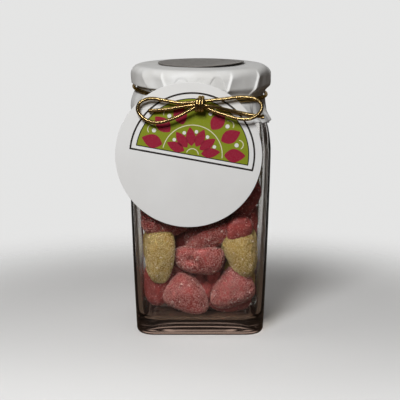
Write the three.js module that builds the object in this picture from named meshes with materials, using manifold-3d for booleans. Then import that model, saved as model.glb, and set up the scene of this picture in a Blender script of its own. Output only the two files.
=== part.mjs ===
// A square glass jar of sugared jelly sweets, dressed as a present.
// A white paper cover sits over the lid and is tied round the neck with gold cord,
// a round card tag hangs from the cord on a bow, and a dark round label lies on top.
// Millimetres, +Z up, the jar stands on Z = 0 and its front faces -Y.
import * as THREE from "three";
import { mergeVertices } from "three/addons/utils/BufferGeometryUtils.js";
import Module from "manifold-3d";

// ---- Jar ----
const BASE_HALF = 31; // half width across the flats, just above the heel
const TOP_HALF = 34.1; // half width across the flats, under the shoulder
const CORNER = 8; // radius of the upright edges
const HEEL_HEIGHT = 3.4;
const HEEL_INSET = 3.2;
const SHOULDER_START = 92;
const SHOULDER_END = 108;
const NECK_RADIUS = 29.4;
const MOUTH_HEIGHT = 128.2;
const WALL = 2.6;
const FLOOR = 7; // thickness of the glass under the sweets
const FLOOR_CORNER = 4; // radius between the inner wall and the floor
const INNER_CORNER = 5.5; // radius of the inner upright edges, where the glass is thicker
const SWELL = 0.1; // how much of its widening the jar gains early, as a share

// ---- Lid ----
const LID_RADIUS = 33.2;
const LID_BOTTOM = 121.3;
const LID_TOP = 129.2;
const LID_SHEET = 0.5;
const LID_BEAD = 4.2; // radius of the rolled edge of its top
const LID_CURL = 1.1; // how far its lower edge is curled inwards

// ---- Paper cover ----
const COVER_TOP = 130;
const COVER_RADIUS = 34.4;
const COVER_BEAD = 4.6; // radius over the edge of the lid
const COVER_DRUM_BOTTOM = 121;
const PAPER = 0.5;
const GROOVE_RADIUS = 30.7; // outside of the paper under the cord
const GATHER_RADIUS = 31.9; // outside of the paper just above and below the cord
const HEM_HEIGHT = 103.4;
const SKIRT_CLEARANCE = 0.9; // outside of the skirt over the glass shoulder
const SKIRT_FLARE = 1.2; // how far the left side stands off the glass
const DRUM_PLEAT = 0.3;
const SKIRT_PLEAT = 0.55;

// ---- Label on top ----
const LABEL_RADIUS = 21.3;
const LABEL_THICKNESS = 0.4;
const LABEL_PLACE = new THREE.Vector3(0.5, 3.5, COVER_TOP + 0.3);
const LABEL_LIFT = 0.9; // how far its front right edge has come up

// ---- Tag ----
const TAG_RADIUS = 34.9;
const TAG_THICKNESS = 0.6;
const TAG_CENTRE = new THREE.Vector3(-5.4, -35.2, 90.1); // middle of its back
const TAG_TILT = 10.4; // degrees, clockwise from the front
const TAG_LEAN = 1.6; // degrees, its foot nearer to the glass
const TAG_HOLE = new THREE.Vector2(0.7, 26);
const TAG_HOLE_RADIUS = 2.2;

// ---- Gold cord ----
const CORD = 1.7; // diameter
const CORD_HEIGHT = 117.2;
const CORD_RADIUS = 31.9; // of the turn round the neck
const CORD_DROP_RIGHT = 1.7;
const CORD_DROP_FRONT = 1.3;
const KNOT_CENTRE = new THREE.Vector3(0, -40.4, 115.3);
const KNOT_INNER = 2.35;
const KNOT_OUTER = 3.75;
const KNOT_WIDTH = 4.4;
const TOUCH_GAP = 0.35; // between pieces that touch
const END_KNOT_RADIUS = 1.35;
// The bow's route: loose left end, knot, right loop, knot, left loop, knot, loose right end.
const BOW_ROUTE = [
  [-24.4, -38.4, 111.7],
  [-14, -39.2, 112.9],
  [-6, -39.8, 114.3],
  [0, -39.4, 114.7],
  [5.5, -40.4, 112.3],
  [12, -41, 110.2],
  [19, -41.4, 108.3],
  [24.4, -41.2, 108.6],
  [28.2, -40.6, 111.2],
  [29.2, -40, 114.4],
  [27, -39.7, 117.2],
  [20.5, -39.7, 118.5],
  [11.5, -40, 117.6],
  [0, -40.4, 116.45],
  [-9, -40.3, 115.7],
  [-17, -40.2, 117],
  [-23.8, -40, 117.8],
  [-28.2, -39.8, 115.9],
  [-29.5, -39.7, 113],
  [-28.2, -39.9, 110],
  [-24.5, -40.3, 107.3],
  [-19.5, -40.7, 106.5],
  [-11.6, -41.1, 108.9],
  [-4.5, -41.4, 112.5],
  [0, -41.4, 114.6],
  [5.5, -40.8, 114.2],
  [12, -39.2, 112.5],
  [20, -37.9, 110.6],
  [29.6, -37.7, 108.8],
];

// ---- Sweets ----
const SWEET_LENGTH = 24;
const SWEET_WIDTH = 19.5;
const SWEET_DOME = 9.8; // height of the round side over the widest section
const SWEET_BASE = 4.3; // depth of the flat side under it
const SWEET_BLUNT = 2.55; // 2 is an ellipse from above, and more is squarer
const SWEET_TAPER = 0.245; // how much slimmer the narrow end is
const SWEET_BROAD = 1.175; // the broad end's share of the usual width
const SWEET_FLATNESS = 2.2; // how soon the flat side under a sweet is level
const GLASS_GAP = 0.5; // between the sweets and the glass
const FILL_HEIGHT = 95;
const CORE_INSET = 10;
const ROW_HEIGHT = 16;
const FIRST_ROW = 17.5;
const ROWS = 5;
const COLUMN_STEP = 18.5;
const SIDE_COLUMN = 0.45; // half the step between two sweets side by side, in columns
const FIRST_DRAW = 20457; // starts the repeatable draws that place the unseen sweets
const DRAW_STEP = 16807;
const DRAW_RANGE = 2147483647;
// The sweets at the front: across, height, turn of the narrow end from straight down and roll
// about the long axis in degrees, distance from the glass, share of the usual length and width,
// and taper.
const FRONT_SWEETS = [
  [-5.8, 17.6, -50, 6, 0, 0.97, 1, 0.33],
  [15.4, 20.4, 50, -10, 2, 0.96, 0.97, 0.31],
  [-22, 23, 12, 35, 6.5, 1, 1, SWEET_TAPER],
  [-18.3, 38.6, 1, -58, 0, 1.15, 0.86, 0.34],
  [-0.3, 38.9, 92, 82, 0, 1.02, 1, SWEET_TAPER],
  [20.4, 40.4, -16, -8, 0, 1.06, 0.94, 0.3],
  [16.8, 52.4, 10, 90, 0, 0.6, 0.66, SWEET_TAPER],
  [3.8, 50.4, 53, 25, 1.5, 1.05, 0.95, SWEET_TAPER],
  [-16.5, 57, -80, 15, 2, 1.04, 1, SWEET_TAPER],
  [14.5, 11.6, 80, 60, 7, 1, 1, SWEET_TAPER],
  [22.5, 66, 25, -30, 1, 1, 1, SWEET_TAPER],
  [1.5, 68, -40, 10, 1, 1, 1, SWEET_TAPER],
  [-20, 75, 65, 20, 1, 1, 1, SWEET_TAPER],
  [0.5, 87, 100, -10, 1, 1, 1, SWEET_TAPER],
  [20.5, 84.5, -20, 30, 1, 1, 1, SWEET_TAPER],
];

const wasm = await Module();
wasm.setup();

const radians = THREE.MathUtils.degToRad;
const FULL_TURN = 2 * Math.PI;

function steps(count, make) {
  return Array.from({ length: count }, (_, i) => make(i));
}

// ---- Solids ----

// A skin through closed rings of points; the ends are capped by a centre point,
// or the last ring joins the first where there are no centres.
function loft(rings, firstCentre, lastCentre) {
  const size = rings[0].length;
  const points = rings.flat();
  const faces = [];
  const capped = Boolean(firstCentre);
  const bands = capped ? rings.length - 1 : rings.length;
  for (let band = 0; band < bands; band++) {
    const low = band * size;
    const high = ((band + 1) % rings.length) * size;
    for (let i = 0; i < size; i++) {
      const j = (i + 1) % size;
      faces.push(low + i, low + j, high + j, low + i, high + j, high + i);
    }
  }
  if (capped) {
    const last = (rings.length - 1) * size;
    points.push(firstCentre, lastCentre);
    for (let i = 0; i < size; i++) {
      const j = (i + 1) % size;
      faces.push(points.length - 2, j, i);
      faces.push(points.length - 1, last + i, last + j);
    }
  }
  const geometry = new THREE.BufferGeometry();
  geometry.setAttribute("position", new THREE.Float32BufferAttribute(points.flat(), 3));
  geometry.setIndex(faces);
  return geometry;
}

function weld(geometry) {
  const bare = geometry.clone();
  bare.deleteAttribute("normal");
  bare.deleteAttribute("uv");
  return mergeVertices(bare, 1e-4);
}

function toSolid(geometry) {
  const closed = weld(geometry);
  const vertProperties = new Float32Array(closed.attributes.position.array);
  const triVerts = new Uint32Array(closed.index.array);
  return new wasm.Manifold(new wasm.Mesh({ numProp: 3, vertProperties, triVerts }));
}

function toGeometry(solid) {
  const mesh = solid.getMesh();
  const geometry = new THREE.BufferGeometry();
  geometry.setAttribute("position", new THREE.BufferAttribute(mesh.vertProperties, 3));
  geometry.setIndex(new THREE.BufferAttribute(mesh.triVerts, 1));
  return geometry;
}

// A fused solid without the pockets that it has shut in.
function outerShell(solid) {
  const shells = solid.decompose();
  return shells.reduce((a, b) => (a.volume() > b.volume() ? a : b));
}

// ---- Outlines ----

// Distance from the axis to the edge of a square with round corners, in one direction.
function squareReach(angle, half, corner) {
  const quarter = Math.PI / 2;
  const turned = Math.abs(((angle % quarter) + quarter) % quarter);
  const away = Math.min(turned, quarter - turned);
  const flat = half - corner;
  if (Math.tan(away) * half <= flat) return half / Math.cos(away);
  const along = flat * (Math.cos(away) + Math.sin(away));
  return along + Math.sqrt(Math.max(0, along * along - 2 * flat * flat + corner * corner));
}

// Directions round the jar, closer together at its corners.
const EIGHTH = [0, 14, 27, 36, 39.5, 42.5];
const QUARTER = [...EIGHTH, 45, ...EIGHTH.slice(1).reverse().map((a) => 90 - a)];
const JAR_ANGLES = steps(4, (side) => QUARTER.map((a) => radians(a + 90 * side))).flat();

function squareRing(half, corner, height) {
  return JAR_ANGLES.map((angle) => {
    const reach = squareReach(angle, half, corner);
    return [reach * Math.cos(angle), reach * Math.sin(angle), height];
  });
}

// Half width of the jar across its flats at a height, outside.
function jarHalf(height) {
  if (height >= SHOULDER_END) return NECK_RADIUS;
  if (height > SHOULDER_START) {
    return NECK_RADIUS + (TOP_HALF - NECK_RADIUS) * Math.cos(shoulderTurn(height));
  }
  const rise = Math.max(0, (height - HEEL_HEIGHT) / (SHOULDER_START - HEEL_HEIGHT));
  const widening = Math.min(1, 1.04 * rise + SWELL * Math.sin(Math.PI * rise));
  return BASE_HALF + (TOP_HALF - BASE_HALF) * widening;
}

// How far round the shoulder's quarter curve a height is.
function shoulderTurn(height) {
  const rise = (height - SHOULDER_START) / (SHOULDER_END - SHOULDER_START);
  return Math.asin(THREE.MathUtils.clamp(rise, 0, 1));
}

function jarCorner(height) {
  return CORNER + (NECK_RADIUS - CORNER) * (shoulderTurn(height) / (Math.PI / 2));
}

function innerCorner(height) {
  return Math.max(jarCorner(height) - WALL, INNER_CORNER);
}

function makeJar() {
  const shoulder = [0.5, 0.8, 0.95].map(
    (rise) => SHOULDER_START + rise * (SHOULDER_END - SHOULDER_START),
  );
  const heights = [HEEL_HEIGHT, 45, 85, SHOULDER_START, ...shoulder, SHOULDER_END, MOUTH_HEIGHT];
  const outside = [
    squareRing(BASE_HALF - HEEL_INSET, CORNER - 2, 0),
    squareRing(BASE_HALF - HEEL_INSET / 3, CORNER - 0.6, HEEL_HEIGHT / 3),
    ...heights.map((height) => squareRing(jarHalf(height), jarCorner(height), height)),
  ];
  const innerHeights = [...heights].reverse().slice(0, -1);
  const innerHalf = jarHalf(FLOOR) - WALL;
  const inside = [
    ...innerHeights.map((height) =>
      squareRing(jarHalf(height) - WALL, innerCorner(height), height),
    ),
    squareRing(innerHalf, INNER_CORNER, FLOOR + FLOOR_CORNER),
    squareRing(innerHalf - FLOOR_CORNER / 3, INNER_CORNER - 1, FLOOR + FLOOR_CORNER / 3),
    squareRing(innerHalf - FLOOR_CORNER, INNER_CORNER - 2, FLOOR),
  ];
  return loft([...outside, ...inside], [0, 0, 0], [0, 0, FLOOR]);
}

// ---- Lid ----

function makeLid() {
  const bead = steps(4, (i) => {
    const turn = (i / 3) * (Math.PI / 2);
    return [
      LID_RADIUS - LID_BEAD + LID_BEAD * Math.sin(turn),
      LID_TOP - LID_BEAD + LID_BEAD * Math.cos(turn),
    ];
  });
  const within = bead.map(([radius, height]) => [radius - LID_SHEET, height - LID_SHEET]);
  const profile = [
    [0, LID_TOP - LID_SHEET],
    ...within,
    [LID_RADIUS - LID_SHEET, LID_BOTTOM + 2 * LID_SHEET],
    [LID_RADIUS - LID_CURL - LID_SHEET, LID_BOTTOM + 2 * LID_SHEET],
    [LID_RADIUS - LID_CURL - LID_SHEET, LID_BOTTOM],
    [LID_RADIUS, LID_BOTTOM],
    ...bead.slice().reverse(),
    [0, LID_TOP],
  ];
  const outline = profile.map(([radius, height]) => new THREE.Vector2(radius, height));
  return new THREE.LatheGeometry(outline, 32).rotateX(Math.PI / 2);
}

// ---- Paper cover ----

// Height of the cord's middle round the neck: it hangs lower at the right and the front.
function cordHeight(angle) {
  const right = Math.cos(angle);
  const front = -Math.sin(angle);
  return CORD_HEIGHT - CORD_DROP_RIGHT * right - CORD_DROP_FRONT * front;
}

// Uneven pleats, from 0 in a valley to 1 on a ridge.
function pleat(angle) {
  const slow = Math.sin(5 * angle + 0.9);
  return 0.5 + 0.5 * Math.sin(15 * angle + 1.4 * slow) * (0.75 + 0.25 * Math.sin(7 * angle));
}

function hemHeight(angle) {
  return HEM_HEIGHT + 1.3 * Math.sin(5 * angle + 2.1) * Math.sin(2 * angle + 0.4);
}

// The paper's outside under the cord, laid over the glass shoulder.
function skirtReach(angle, height, drop) {
  const glass = squareReach(angle, jarHalf(height), jarCorner(height)) + SKIRT_CLEARANCE;
  const flareShare = Math.max(0, -Math.cos(angle)) ** 2;
  const flare = SKIRT_FLARE * flareShare * Math.sin(Math.PI * Math.min(1, drop * 1.2));
  const hanging = Math.max(glass, GATHER_RADIUS + 1.2 * drop);
  return hanging + flare + SKIRT_PLEAT * drop * pleat(angle);
}

// Stations of the paper's outside from the middle of the top to the hem, as reach and height.
function coverStations(angle) {
  const beadTurns = [0, 30, 60, 90].map(radians);
  const fold = DRUM_PLEAT * pleat(angle);
  const bead = beadTurns.map((turn) => [
    COVER_RADIUS - COVER_BEAD + COVER_BEAD * Math.sin(turn) + fold * Math.sin(turn),
    COVER_TOP - COVER_BEAD + COVER_BEAD * Math.cos(turn),
  ]);
  const cord = cordHeight(angle);
  const top = cord - 1.9;
  const hem = hemHeight(angle);
  const skirt = [0.3, 0.6, 0.8, 1].map((drop) => {
    const height = top + (hem - top) * drop;
    return [skirtReach(angle, height, drop), height];
  });
  return [
    ...bead,
    [COVER_RADIUS + fold, COVER_DRUM_BOTTOM],
    [GATHER_RADIUS, cord + 1.9],
    [GROOVE_RADIUS, cord + 0.7],
    [GROOVE_RADIUS, cord - 0.7],
    [GATHER_RADIUS, top],
    ...skirt,
  ];
}

function makeCover() {
  const angles = steps(60, (i) => (FULL_TURN * i) / 60);
  const columns = angles.map(coverStations);
  const ring = (station, inset, sink) =>
    angles.map((angle, i) => {
      const [reach, height] = columns[i][station];
      const inner = reach - inset;
      return [inner * Math.cos(angle), inner * Math.sin(angle), height - sink];
    });
  const stations = steps(columns[0].length, (i) => i);
  const outside = stations.map((station) => ring(station, 0, 0));
  const topStations = 4; // those over the edge of the lid, which also drop by the paper's thickness
  const inside = stations.map((station) =>
    ring(station, station ? PAPER : 0, station < topStations ? PAPER : 0),
  );
  const rings = [...outside, ...inside.reverse()].reverse();
  return loft(rings, [0, 0, COVER_TOP - PAPER], [0, 0, COVER_TOP]);
}

// ---- Label ----

// The label lies flat but for its front right edge, which has come unstuck.
function labelLift(angle, radius) {
  const towards = (radius / LABEL_RADIUS) * Math.cos(angle + radians(28));
  return LABEL_LIFT * Math.max(0, towards - 0.35) ** 1.5 / 0.65 ** 1.5;
}

function makeLabel() {
  const angles = steps(36, (i) => (FULL_TURN * i) / 36);
  const ring = (share, height) =>
    angles.map((angle) => {
      const radius = share * LABEL_RADIUS;
      const z = height + labelLift(angle, radius);
      return [radius * Math.cos(angle), radius * Math.sin(angle), z];
    });
  const shares = [0.45, 0.8, 1];
  const under = shares.map((share) => ring(share, 0));
  const over = [...shares].reverse().map((share) => ring(share, LABEL_THICKNESS));
  return loft([...under, ...over], [0, 0, 0], [0, 0, LABEL_THICKNESS]);
}

// ---- Tag ----

function makeTag() {
  const outline = new THREE.Shape().absarc(0, 0, TAG_RADIUS, 0, FULL_TURN, false);
  const hole = new THREE.Path().absarc(TAG_HOLE.x, TAG_HOLE.y, TAG_HOLE_RADIUS, 0, FULL_TURN, true);
  outline.holes.push(hole);
  const card = new THREE.ExtrudeGeometry(outline, {
    depth: TAG_THICKNESS,
    bevelEnabled: false,
    curveSegments: 26,
  });
  return card.rotateX(Math.PI / 2);
}

// ---- Cord ----

function sweep(path, count) {
  const section = new THREE.Shape();
  section.absarc(0, 0, CORD / 2, 0, FULL_TURN, false);
  return new THREE.ExtrudeGeometry(section, {
    steps: count,
    bevelEnabled: false,
    curveSegments: 4,
    extrudePath: path,
  });
}

// The turn round the neck, with the two strands that pass through the tag's hole.
function makeNeckCord() {
  const sides = 6;
  const turn = steps(44, (i) => (FULL_TURN * i) / 44);
  const rings = turn.map((angle) =>
    steps(sides, (side) => {
      const around = (-FULL_TURN * side) / sides;
      const reach = CORD_RADIUS + (CORD / 2) * Math.cos(around);
      const height = cordHeight(angle) + (CORD / 2) * Math.sin(around);
      return [reach * Math.cos(angle), reach * Math.sin(angle), height];
    }),
  );
  const front = -radians(90);
  const inner = -CORD_RADIUS;
  const outer = KNOT_CENTRE.y + KNOT_OUTER + TOUCH_GAP;
  const strands = new THREE.CylinderGeometry(1.5, 1.5, inner - outer, 10);
  const middle = (inner + outer) / 2;
  strands.translate(0, middle, 0);
  const height = (cordHeight(front) + KNOT_CENTRE.z) / 2;
  strands.translate(0, 0, height);
  return toGeometry(toSolid(loft(rings)).add(toSolid(strands)));
}

// The bow with its two loose ends; a small knot stops the right end.
function makeBow() {
  const points = BOW_ROUTE.map(([x, y, z]) => new THREE.Vector3(x, y, z));
  const route = new THREE.CatmullRomCurve3(points, false, "centripetal");
  const stop = new THREE.IcosahedronGeometry(END_KNOT_RADIUS, 1);
  const end = points.at(-1);
  stop.translate(end.x, end.y, end.z);
  return toGeometry(toSolid(sweep(route, 66)).add(toSolid(stop)));
}

// The turns of cord that hold the bow together, as one band round its strands.
function makeKnot() {
  const middle = (KNOT_INNER + KNOT_OUTER) / 2;
  const thick = (KNOT_OUTER - KNOT_INNER) / 2;
  const band = steps(8, (i) => {
    const turn = (FULL_TURN * i) / 8;
    return new THREE.Vector2(
      middle + thick * Math.cos(turn),
      (KNOT_WIDTH / 2) * Math.sin(turn),
    );
  });
  return new THREE.LatheGeometry([...band, band[0].clone()], 16).rotateZ(Math.PI / 2);
}

// ---- Sweets ----

// One sweet: pear shaped from above, its narrow end down, its round side towards -Y.
function makeSweet(long, wide, taper) {
  const sweet = weld(new THREE.SphereGeometry(1, 7, 5));
  const place = sweet.attributes.position;
  for (let i = 0; i < place.count; i++) {
    const along = place.getY(i);
    const out = place.getZ(i);
    const round = Math.sqrt(Math.max(1e-6, 1 - along * along));
    const blunt = Math.max(0, 1 - Math.abs(along) ** SWEET_BLUNT) ** (1 / SWEET_BLUNT) / round;
    const slim = blunt * (SWEET_BROAD - taper + taper * along);
    const depth = out > 0 ? -out * SWEET_DOME : SWEET_BASE * Math.min(1, -out * SWEET_FLATNESS);
    place.setXYZ(
      i,
      place.getX(i) * (SWEET_WIDTH / 2) * wide * slim,
      depth * blunt,
      along * (SWEET_LENGTH / 2) * long,
    );
  }
  return sweet;
}

// A repeatable draw between -1 and 1.
let drawn = FIRST_DRAW;
function draw() {
  drawn = (drawn * DRAW_STEP) % DRAW_RANGE;
  return (2 * drawn) / DRAW_RANGE - 1;
}

// Where each sweet lies: face of the jar in degrees from the front, then as in FRONT_SWEETS.
function sweetPlaces() {
  const places = FRONT_SWEETS.map((sweet) => [0, ...sweet]);
  const row = (face, height, columns) => {
    for (const column of columns) {
      const across = column * COLUMN_STEP + 1.2 * draw();
      const up = height + 1.8 * draw();
      places.push([face, across, up, 90 * draw(), 28 * draw(), 0, 1, 1, SWEET_TAPER]);
    }
  };
  for (let i = 0; i < ROWS; i++) {
    const height = FIRST_ROW + ROW_HEIGHT * i;
    row(180, height, [-1, 0, 1]);
    row(90, height + ROW_HEIGHT / 3, i % 2 ? [0] : [-SIDE_COLUMN, SIDE_COLUMN]);
    row(270, height + ROW_HEIGHT / 3, i % 2 ? [-SIDE_COLUMN, SIDE_COLUMN] : [0]);
  }
  return places;
}

// Moves a sweet inwards or up until all of it is inside the glass.
function fitInside(sweet) {
  const place = sweet.attributes.position;
  for (let pass = 0; pass < 4; pass++) {
    const move = new THREE.Vector3();
    let worst = 0;
    let lift = 0;
    for (let i = 0; i < place.count; i++) {
      const height = Math.min(place.getZ(i), FILL_HEIGHT);
      const angle = Math.atan2(place.getY(i), place.getX(i));
      const half = jarHalf(height) - WALL - GLASS_GAP;
      const corner = innerCorner(height);
      const over = Math.hypot(place.getX(i), place.getY(i)) - squareReach(angle, half, corner);
      if (over > worst) {
        worst = over;
        move.set(-Math.cos(angle) * over, -Math.sin(angle) * over, 0);
      }
      lift = Math.max(lift, FLOOR + GLASS_GAP - place.getZ(i));
    }
    sweet.translate(move.x, move.y, lift);
  }
}

function makeHeap() {
  const coreHeights = [FLOOR + 2, FLOOR + 6, SHOULDER_START - 6, FILL_HEIGHT - 4];
  const insets = [CORE_INSET + 4, CORE_INSET, CORE_INSET, CORE_INSET + 6];
  const rings = coreHeights.map((height, i) =>
    squareRing(jarHalf(FLOOR) - WALL - insets[i], CORNER, height).filter((_, k) => k % 2 === 0),
  );
  const core = loft(rings, [0, 0, coreHeights[0]], [0, 0, coreHeights.at(-1)]);
  let heap = toSolid(core);
  for (const [face, across, height, turn, roll, back, long, wide, taper] of sweetPlaces()) {
    const sweet = makeSweet(long, wide, taper);
    sweet.rotateZ(radians(roll));
    sweet.rotateY(radians(turn));
    sweet.computeBoundingBox();
    const wall = jarHalf(height) - WALL - GLASS_GAP;
    sweet.translate(across, back - wall - sweet.boundingBox.min.y, height);
    sweet.rotateZ(radians(face));
    fitInside(sweet);
    heap = heap.add(toSolid(sweet));
  }
  return toGeometry(outerShell(heap));
}

// ---- The whole ----

function dress(color, roughness, metalness) {
  return new THREE.MeshStandardMaterial({ color, roughness, metalness });
}

function piece(name, geometry, material) {
  const mesh = new THREE.Mesh(geometry, material);
  mesh.name = name;
  return mesh;
}

const gold = dress(0xb08d3c, 0.3, 1);
const jar = new THREE.Group();

jar.add(piece("glass_jar", makeJar(), dress(0xdfe4e2, 0.05, 0)));
jar.add(piece("sweets", makeHeap(), dress(0xa85a5e, 0.8, 0)));
jar.add(piece("lid", makeLid(), dress(0x8a8680, 0.35, 0.8)));
jar.add(piece("paper_cover", makeCover(), dress(0xe6e5e1, 0.75, 0)));

const label = piece("top_label", makeLabel(), dress(0x5b5651, 0.35, 0));
label.position.copy(LABEL_PLACE);
jar.add(label);

const tag = piece("tag", makeTag(), dress(0xd8d8d5, 0.6, 0));
tag.position.copy(TAG_CENTRE);
tag.rotation.set(radians(TAG_LEAN), radians(TAG_TILT), 0, "XYZ");
jar.add(tag);

jar.add(piece("neck_cord", makeNeckCord(), gold));
jar.add(piece("bow", makeBow(), gold));

const knot = piece("bow_knot", makeKnot(), gold);
knot.position.copy(KNOT_CENTRE);
jar.add(knot);

export default jar;
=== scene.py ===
"""Looks of a square glass jar of sugared pear drops, dressed as a present.

A white paper cover sits over the lid and is tied round the neck with gold cord, a round card
tag hangs on the bow, and a dark round label lies on top.  Sizes are in millimetres unless a
name says otherwise, and `metres` turns them into the frame's own unit.  +Z is up and the tag
and the bow are at -Y.  A turn is in degrees from the front towards the right, and an angle is
in radians from +X.
"""

import logging
import math
from dataclasses import dataclass, field
from enum import Enum
from typing import Sequence

import bmesh
import bpy
import numpy as np
from mathutils import Matrix, Vector


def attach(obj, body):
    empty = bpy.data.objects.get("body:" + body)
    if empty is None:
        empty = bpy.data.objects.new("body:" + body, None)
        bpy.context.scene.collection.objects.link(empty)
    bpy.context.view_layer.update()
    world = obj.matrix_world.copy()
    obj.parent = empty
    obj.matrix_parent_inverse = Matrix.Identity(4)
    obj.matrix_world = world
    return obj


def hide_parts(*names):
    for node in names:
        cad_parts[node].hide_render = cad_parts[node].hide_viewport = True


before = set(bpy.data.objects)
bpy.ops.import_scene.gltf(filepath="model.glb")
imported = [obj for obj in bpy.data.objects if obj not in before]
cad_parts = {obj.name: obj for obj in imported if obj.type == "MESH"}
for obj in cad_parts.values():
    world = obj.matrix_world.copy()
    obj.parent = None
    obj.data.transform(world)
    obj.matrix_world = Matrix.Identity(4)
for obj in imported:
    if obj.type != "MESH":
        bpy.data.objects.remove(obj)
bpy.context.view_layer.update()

MM = 0.001
BODY = "root"
FULL_TURN = 2 * math.pi
QUARTER_TURN = math.pi / 2
PHOTO_SIDE = 400  # pixels
LOG = logging.getLogger("pear_drops")

Point = tuple[float, float, float]
Flat = tuple[float, float]
Colour = tuple[float, float, float]
Faces = list[tuple[int, ...]]
Shell = tuple[Sequence[Point], Faces]
Socket = bpy.types.NodeSocket
Piece = bpy.types.Object


# ---------------------------------------------------------------- meshes


def metres(points: Sequence[Point]) -> np.ndarray:
    """Points in millimetres as an array in metres."""
    return np.asarray(points, float) * MM


def held(share: float) -> float:
    """A share, held between 0 and 1."""
    return min(1.0, max(0.0, share))


def beyond(turn: float, place: float) -> float:
    """Degrees from a place round to a turn, from -180 to 180."""
    return (turn - place + 180.0) % 360.0 - 180.0


def new_piece(
    name: str,
    shell: Shell,
    material: bpy.types.Material,
    replaces: Sequence[str] = (),
    smooth: bool = True,
    uv: np.ndarray | None = None,
) -> Piece:
    """Makes one visible piece of the jar, and lets it ride on the only body.

    Args:
        name: The piece's name.
        shell: Its points in millimetres, and its faces, facing out.
        material: Its finish.
        replaces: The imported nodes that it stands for.
        smooth: Whether its faces are shaded smooth.
        uv: A (u, v) pair for each corner of each face, in face order.

    Returns:
        The new object.
    """
    points, faces = shell
    mesh = bpy.data.meshes.new(name)
    mesh.from_pydata(metres(points).tolist(), [], [list(face) for face in faces])
    if uv is not None:
        layer = mesh.uv_layers.new(name="along")
        layer.data.foreach_set("uv", np.asarray(uv, np.float32).ravel())
    mesh.polygons.foreach_set("use_smooth", [smooth] * len(mesh.polygons))
    mesh.materials.append(material)
    mesh.validate()
    mesh.update()
    piece = bpy.data.objects.new(name, mesh)
    bpy.context.scene.collection.objects.link(piece)
    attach(piece, BODY)
    if replaces:
        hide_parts(*replaces)
    LOG.info("%s: %d faces", name, len(mesh.polygons))
    return piece


def loft(rings: Sequence[Sequence[Point]], ends: tuple[Point, Point] | None = None) -> Shell:
    """Joins closed rings of points into one skin.

    Args:
        rings: Rings with the same number of points each.
        ends: The middle points that cap the first and the last ring, or None where the
            last ring joins the first.

    Returns:
        The skin.
    """
    size = len(rings[0])
    points = [tuple(point) for ring in rings for point in ring]
    faces: Faces = []
    for band in range(len(rings) - bool(ends)):
        low, high = band * size, (band + 1) % len(rings) * size
        faces += [(low + i, low + (i + 1) % size, high + (i + 1) % size, high + i) for i in range(size)]
    if ends:
        last, cap = (len(rings) - 1) * size, len(points)
        points += ends
        for i in range(size):
            j = (i + 1) % size
            faces += [(cap, j, i), (cap + 1, last + i, last + j)]
    return points, faces


def joined(shells: Sequence[Shell]) -> Shell:
    """Puts several skins into one.

    Args:
        shells: The skins.

    Returns:
        One list of their points and one of their faces.
    """
    points: list[Point] = []
    faces: Faces = []
    for own_points, own_faces in shells:
        start = len(points)
        points += [tuple(point) for point in own_points]
        faces += [tuple(start + i for i in face) for face in own_faces]
    return points, faces


def smooth_line(points: Sequence[Point], per_span: int) -> np.ndarray:
    """Draws a centripetal spline through points.

    Args:
        points: The points that it passes.
        per_span: Points on each span between two of them.

    Returns:
        The points on the spline.
    """
    given = np.asarray(points, float)
    line = np.vstack([2 * given[0] - given[1], given, 2 * given[-1] - given[-2]])
    found = []
    for a, b, c, d in zip(line, line[1:], line[2:], line[3:]):
        steps = [max(np.linalg.norm(q - p), 1e-6) ** 0.5 for p, q in ((a, b), (b, c), (c, d))]
        k0, k1, k2, k3 = np.cumsum([0.0] + steps)
        for step in range(per_span):
            t = k1 + (k2 - k1) * step / per_span
            ab = a + (b - a) * (t - k0) / (k1 - k0)
            bc = b + (c - b) * (t - k1) / (k2 - k1)
            cd = c + (d - c) * (t - k2) / (k3 - k2)
            first = ab + (bc - ab) * (t - k0) / (k2 - k0)
            second = bc + (cd - bc) * (t - k1) / (k3 - k1)
            found.append(first + (second - first) * (t - k1) / (k2 - k1))
    return np.array(found + [given[-1]])


def tube(line: np.ndarray, radius: float, sides: int = 14, closed: bool = False) -> tuple[Shell, np.ndarray]:
    """Makes a round skin along a line, with u along it in millimetres and v round it.

    Args:
        line: The points that it follows.
        radius: Its radius.
        sides: Points round it.
        closed: Whether the line closes on itself.

    Returns:
        The skin and its corners' (u, v).
    """
    count = len(line)
    ahead = np.roll(line, -1, axis=0) - line
    passed = np.concatenate([[0.0], np.cumsum(np.linalg.norm(ahead, axis=1))])
    if not closed:
        ahead[-1] = ahead[-2]
    ahead /= np.linalg.norm(ahead, axis=1)[:, None]
    along = ahead + np.roll(ahead, 1, axis=0)
    if not closed:
        along[0] = ahead[0]
    along /= np.linalg.norm(along, axis=1)[:, None]
    out = np.cross(along[0], (0.3, 0.9, 0.4))
    outs = []
    for direction in along:
        out = out - direction * (out @ direction)
        out /= np.linalg.norm(out)
        outs.append(out)
    twist = 0.0
    if closed:
        back = outs[-1] - along[0] * (outs[-1] @ along[0])
        twist = math.atan2(float(np.cross(back, outs[0]) @ along[0]), float(back @ outs[0]))
    rings = []
    for i in range(count):
        turn = np.arange(sides) * FULL_TURN / sides + twist * (passed[i] / passed[count - 1])
        up = np.cross(along[i], outs[i])
        ring = line[i] + radius * (np.outer(np.cos(turn), outs[i]) + np.outer(np.sin(turn), up))
        rings.append([tuple(point) for point in ring])
    shell = loft(rings, None if closed else (tuple(line[0]), tuple(line[-1])))
    rounds = [(i / sides, (i + 1) / sides) for i in range(sides)]
    uv = []
    for u0, u1 in zip(passed, passed[1 : count + closed]):
        for v0, v1 in rounds:
            uv += [(u0, v0), (u0, v1), (u1, v1), (u1, v0)]
    if not closed:
        end = passed[count - 1]
        for v0, v1 in rounds:
            uv += [(0.0, 0.5), (0.0, v1), (0.0, v0), (end, 0.5), (end, v0), (end, v1)]
    return shell, np.array(uv)


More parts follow.
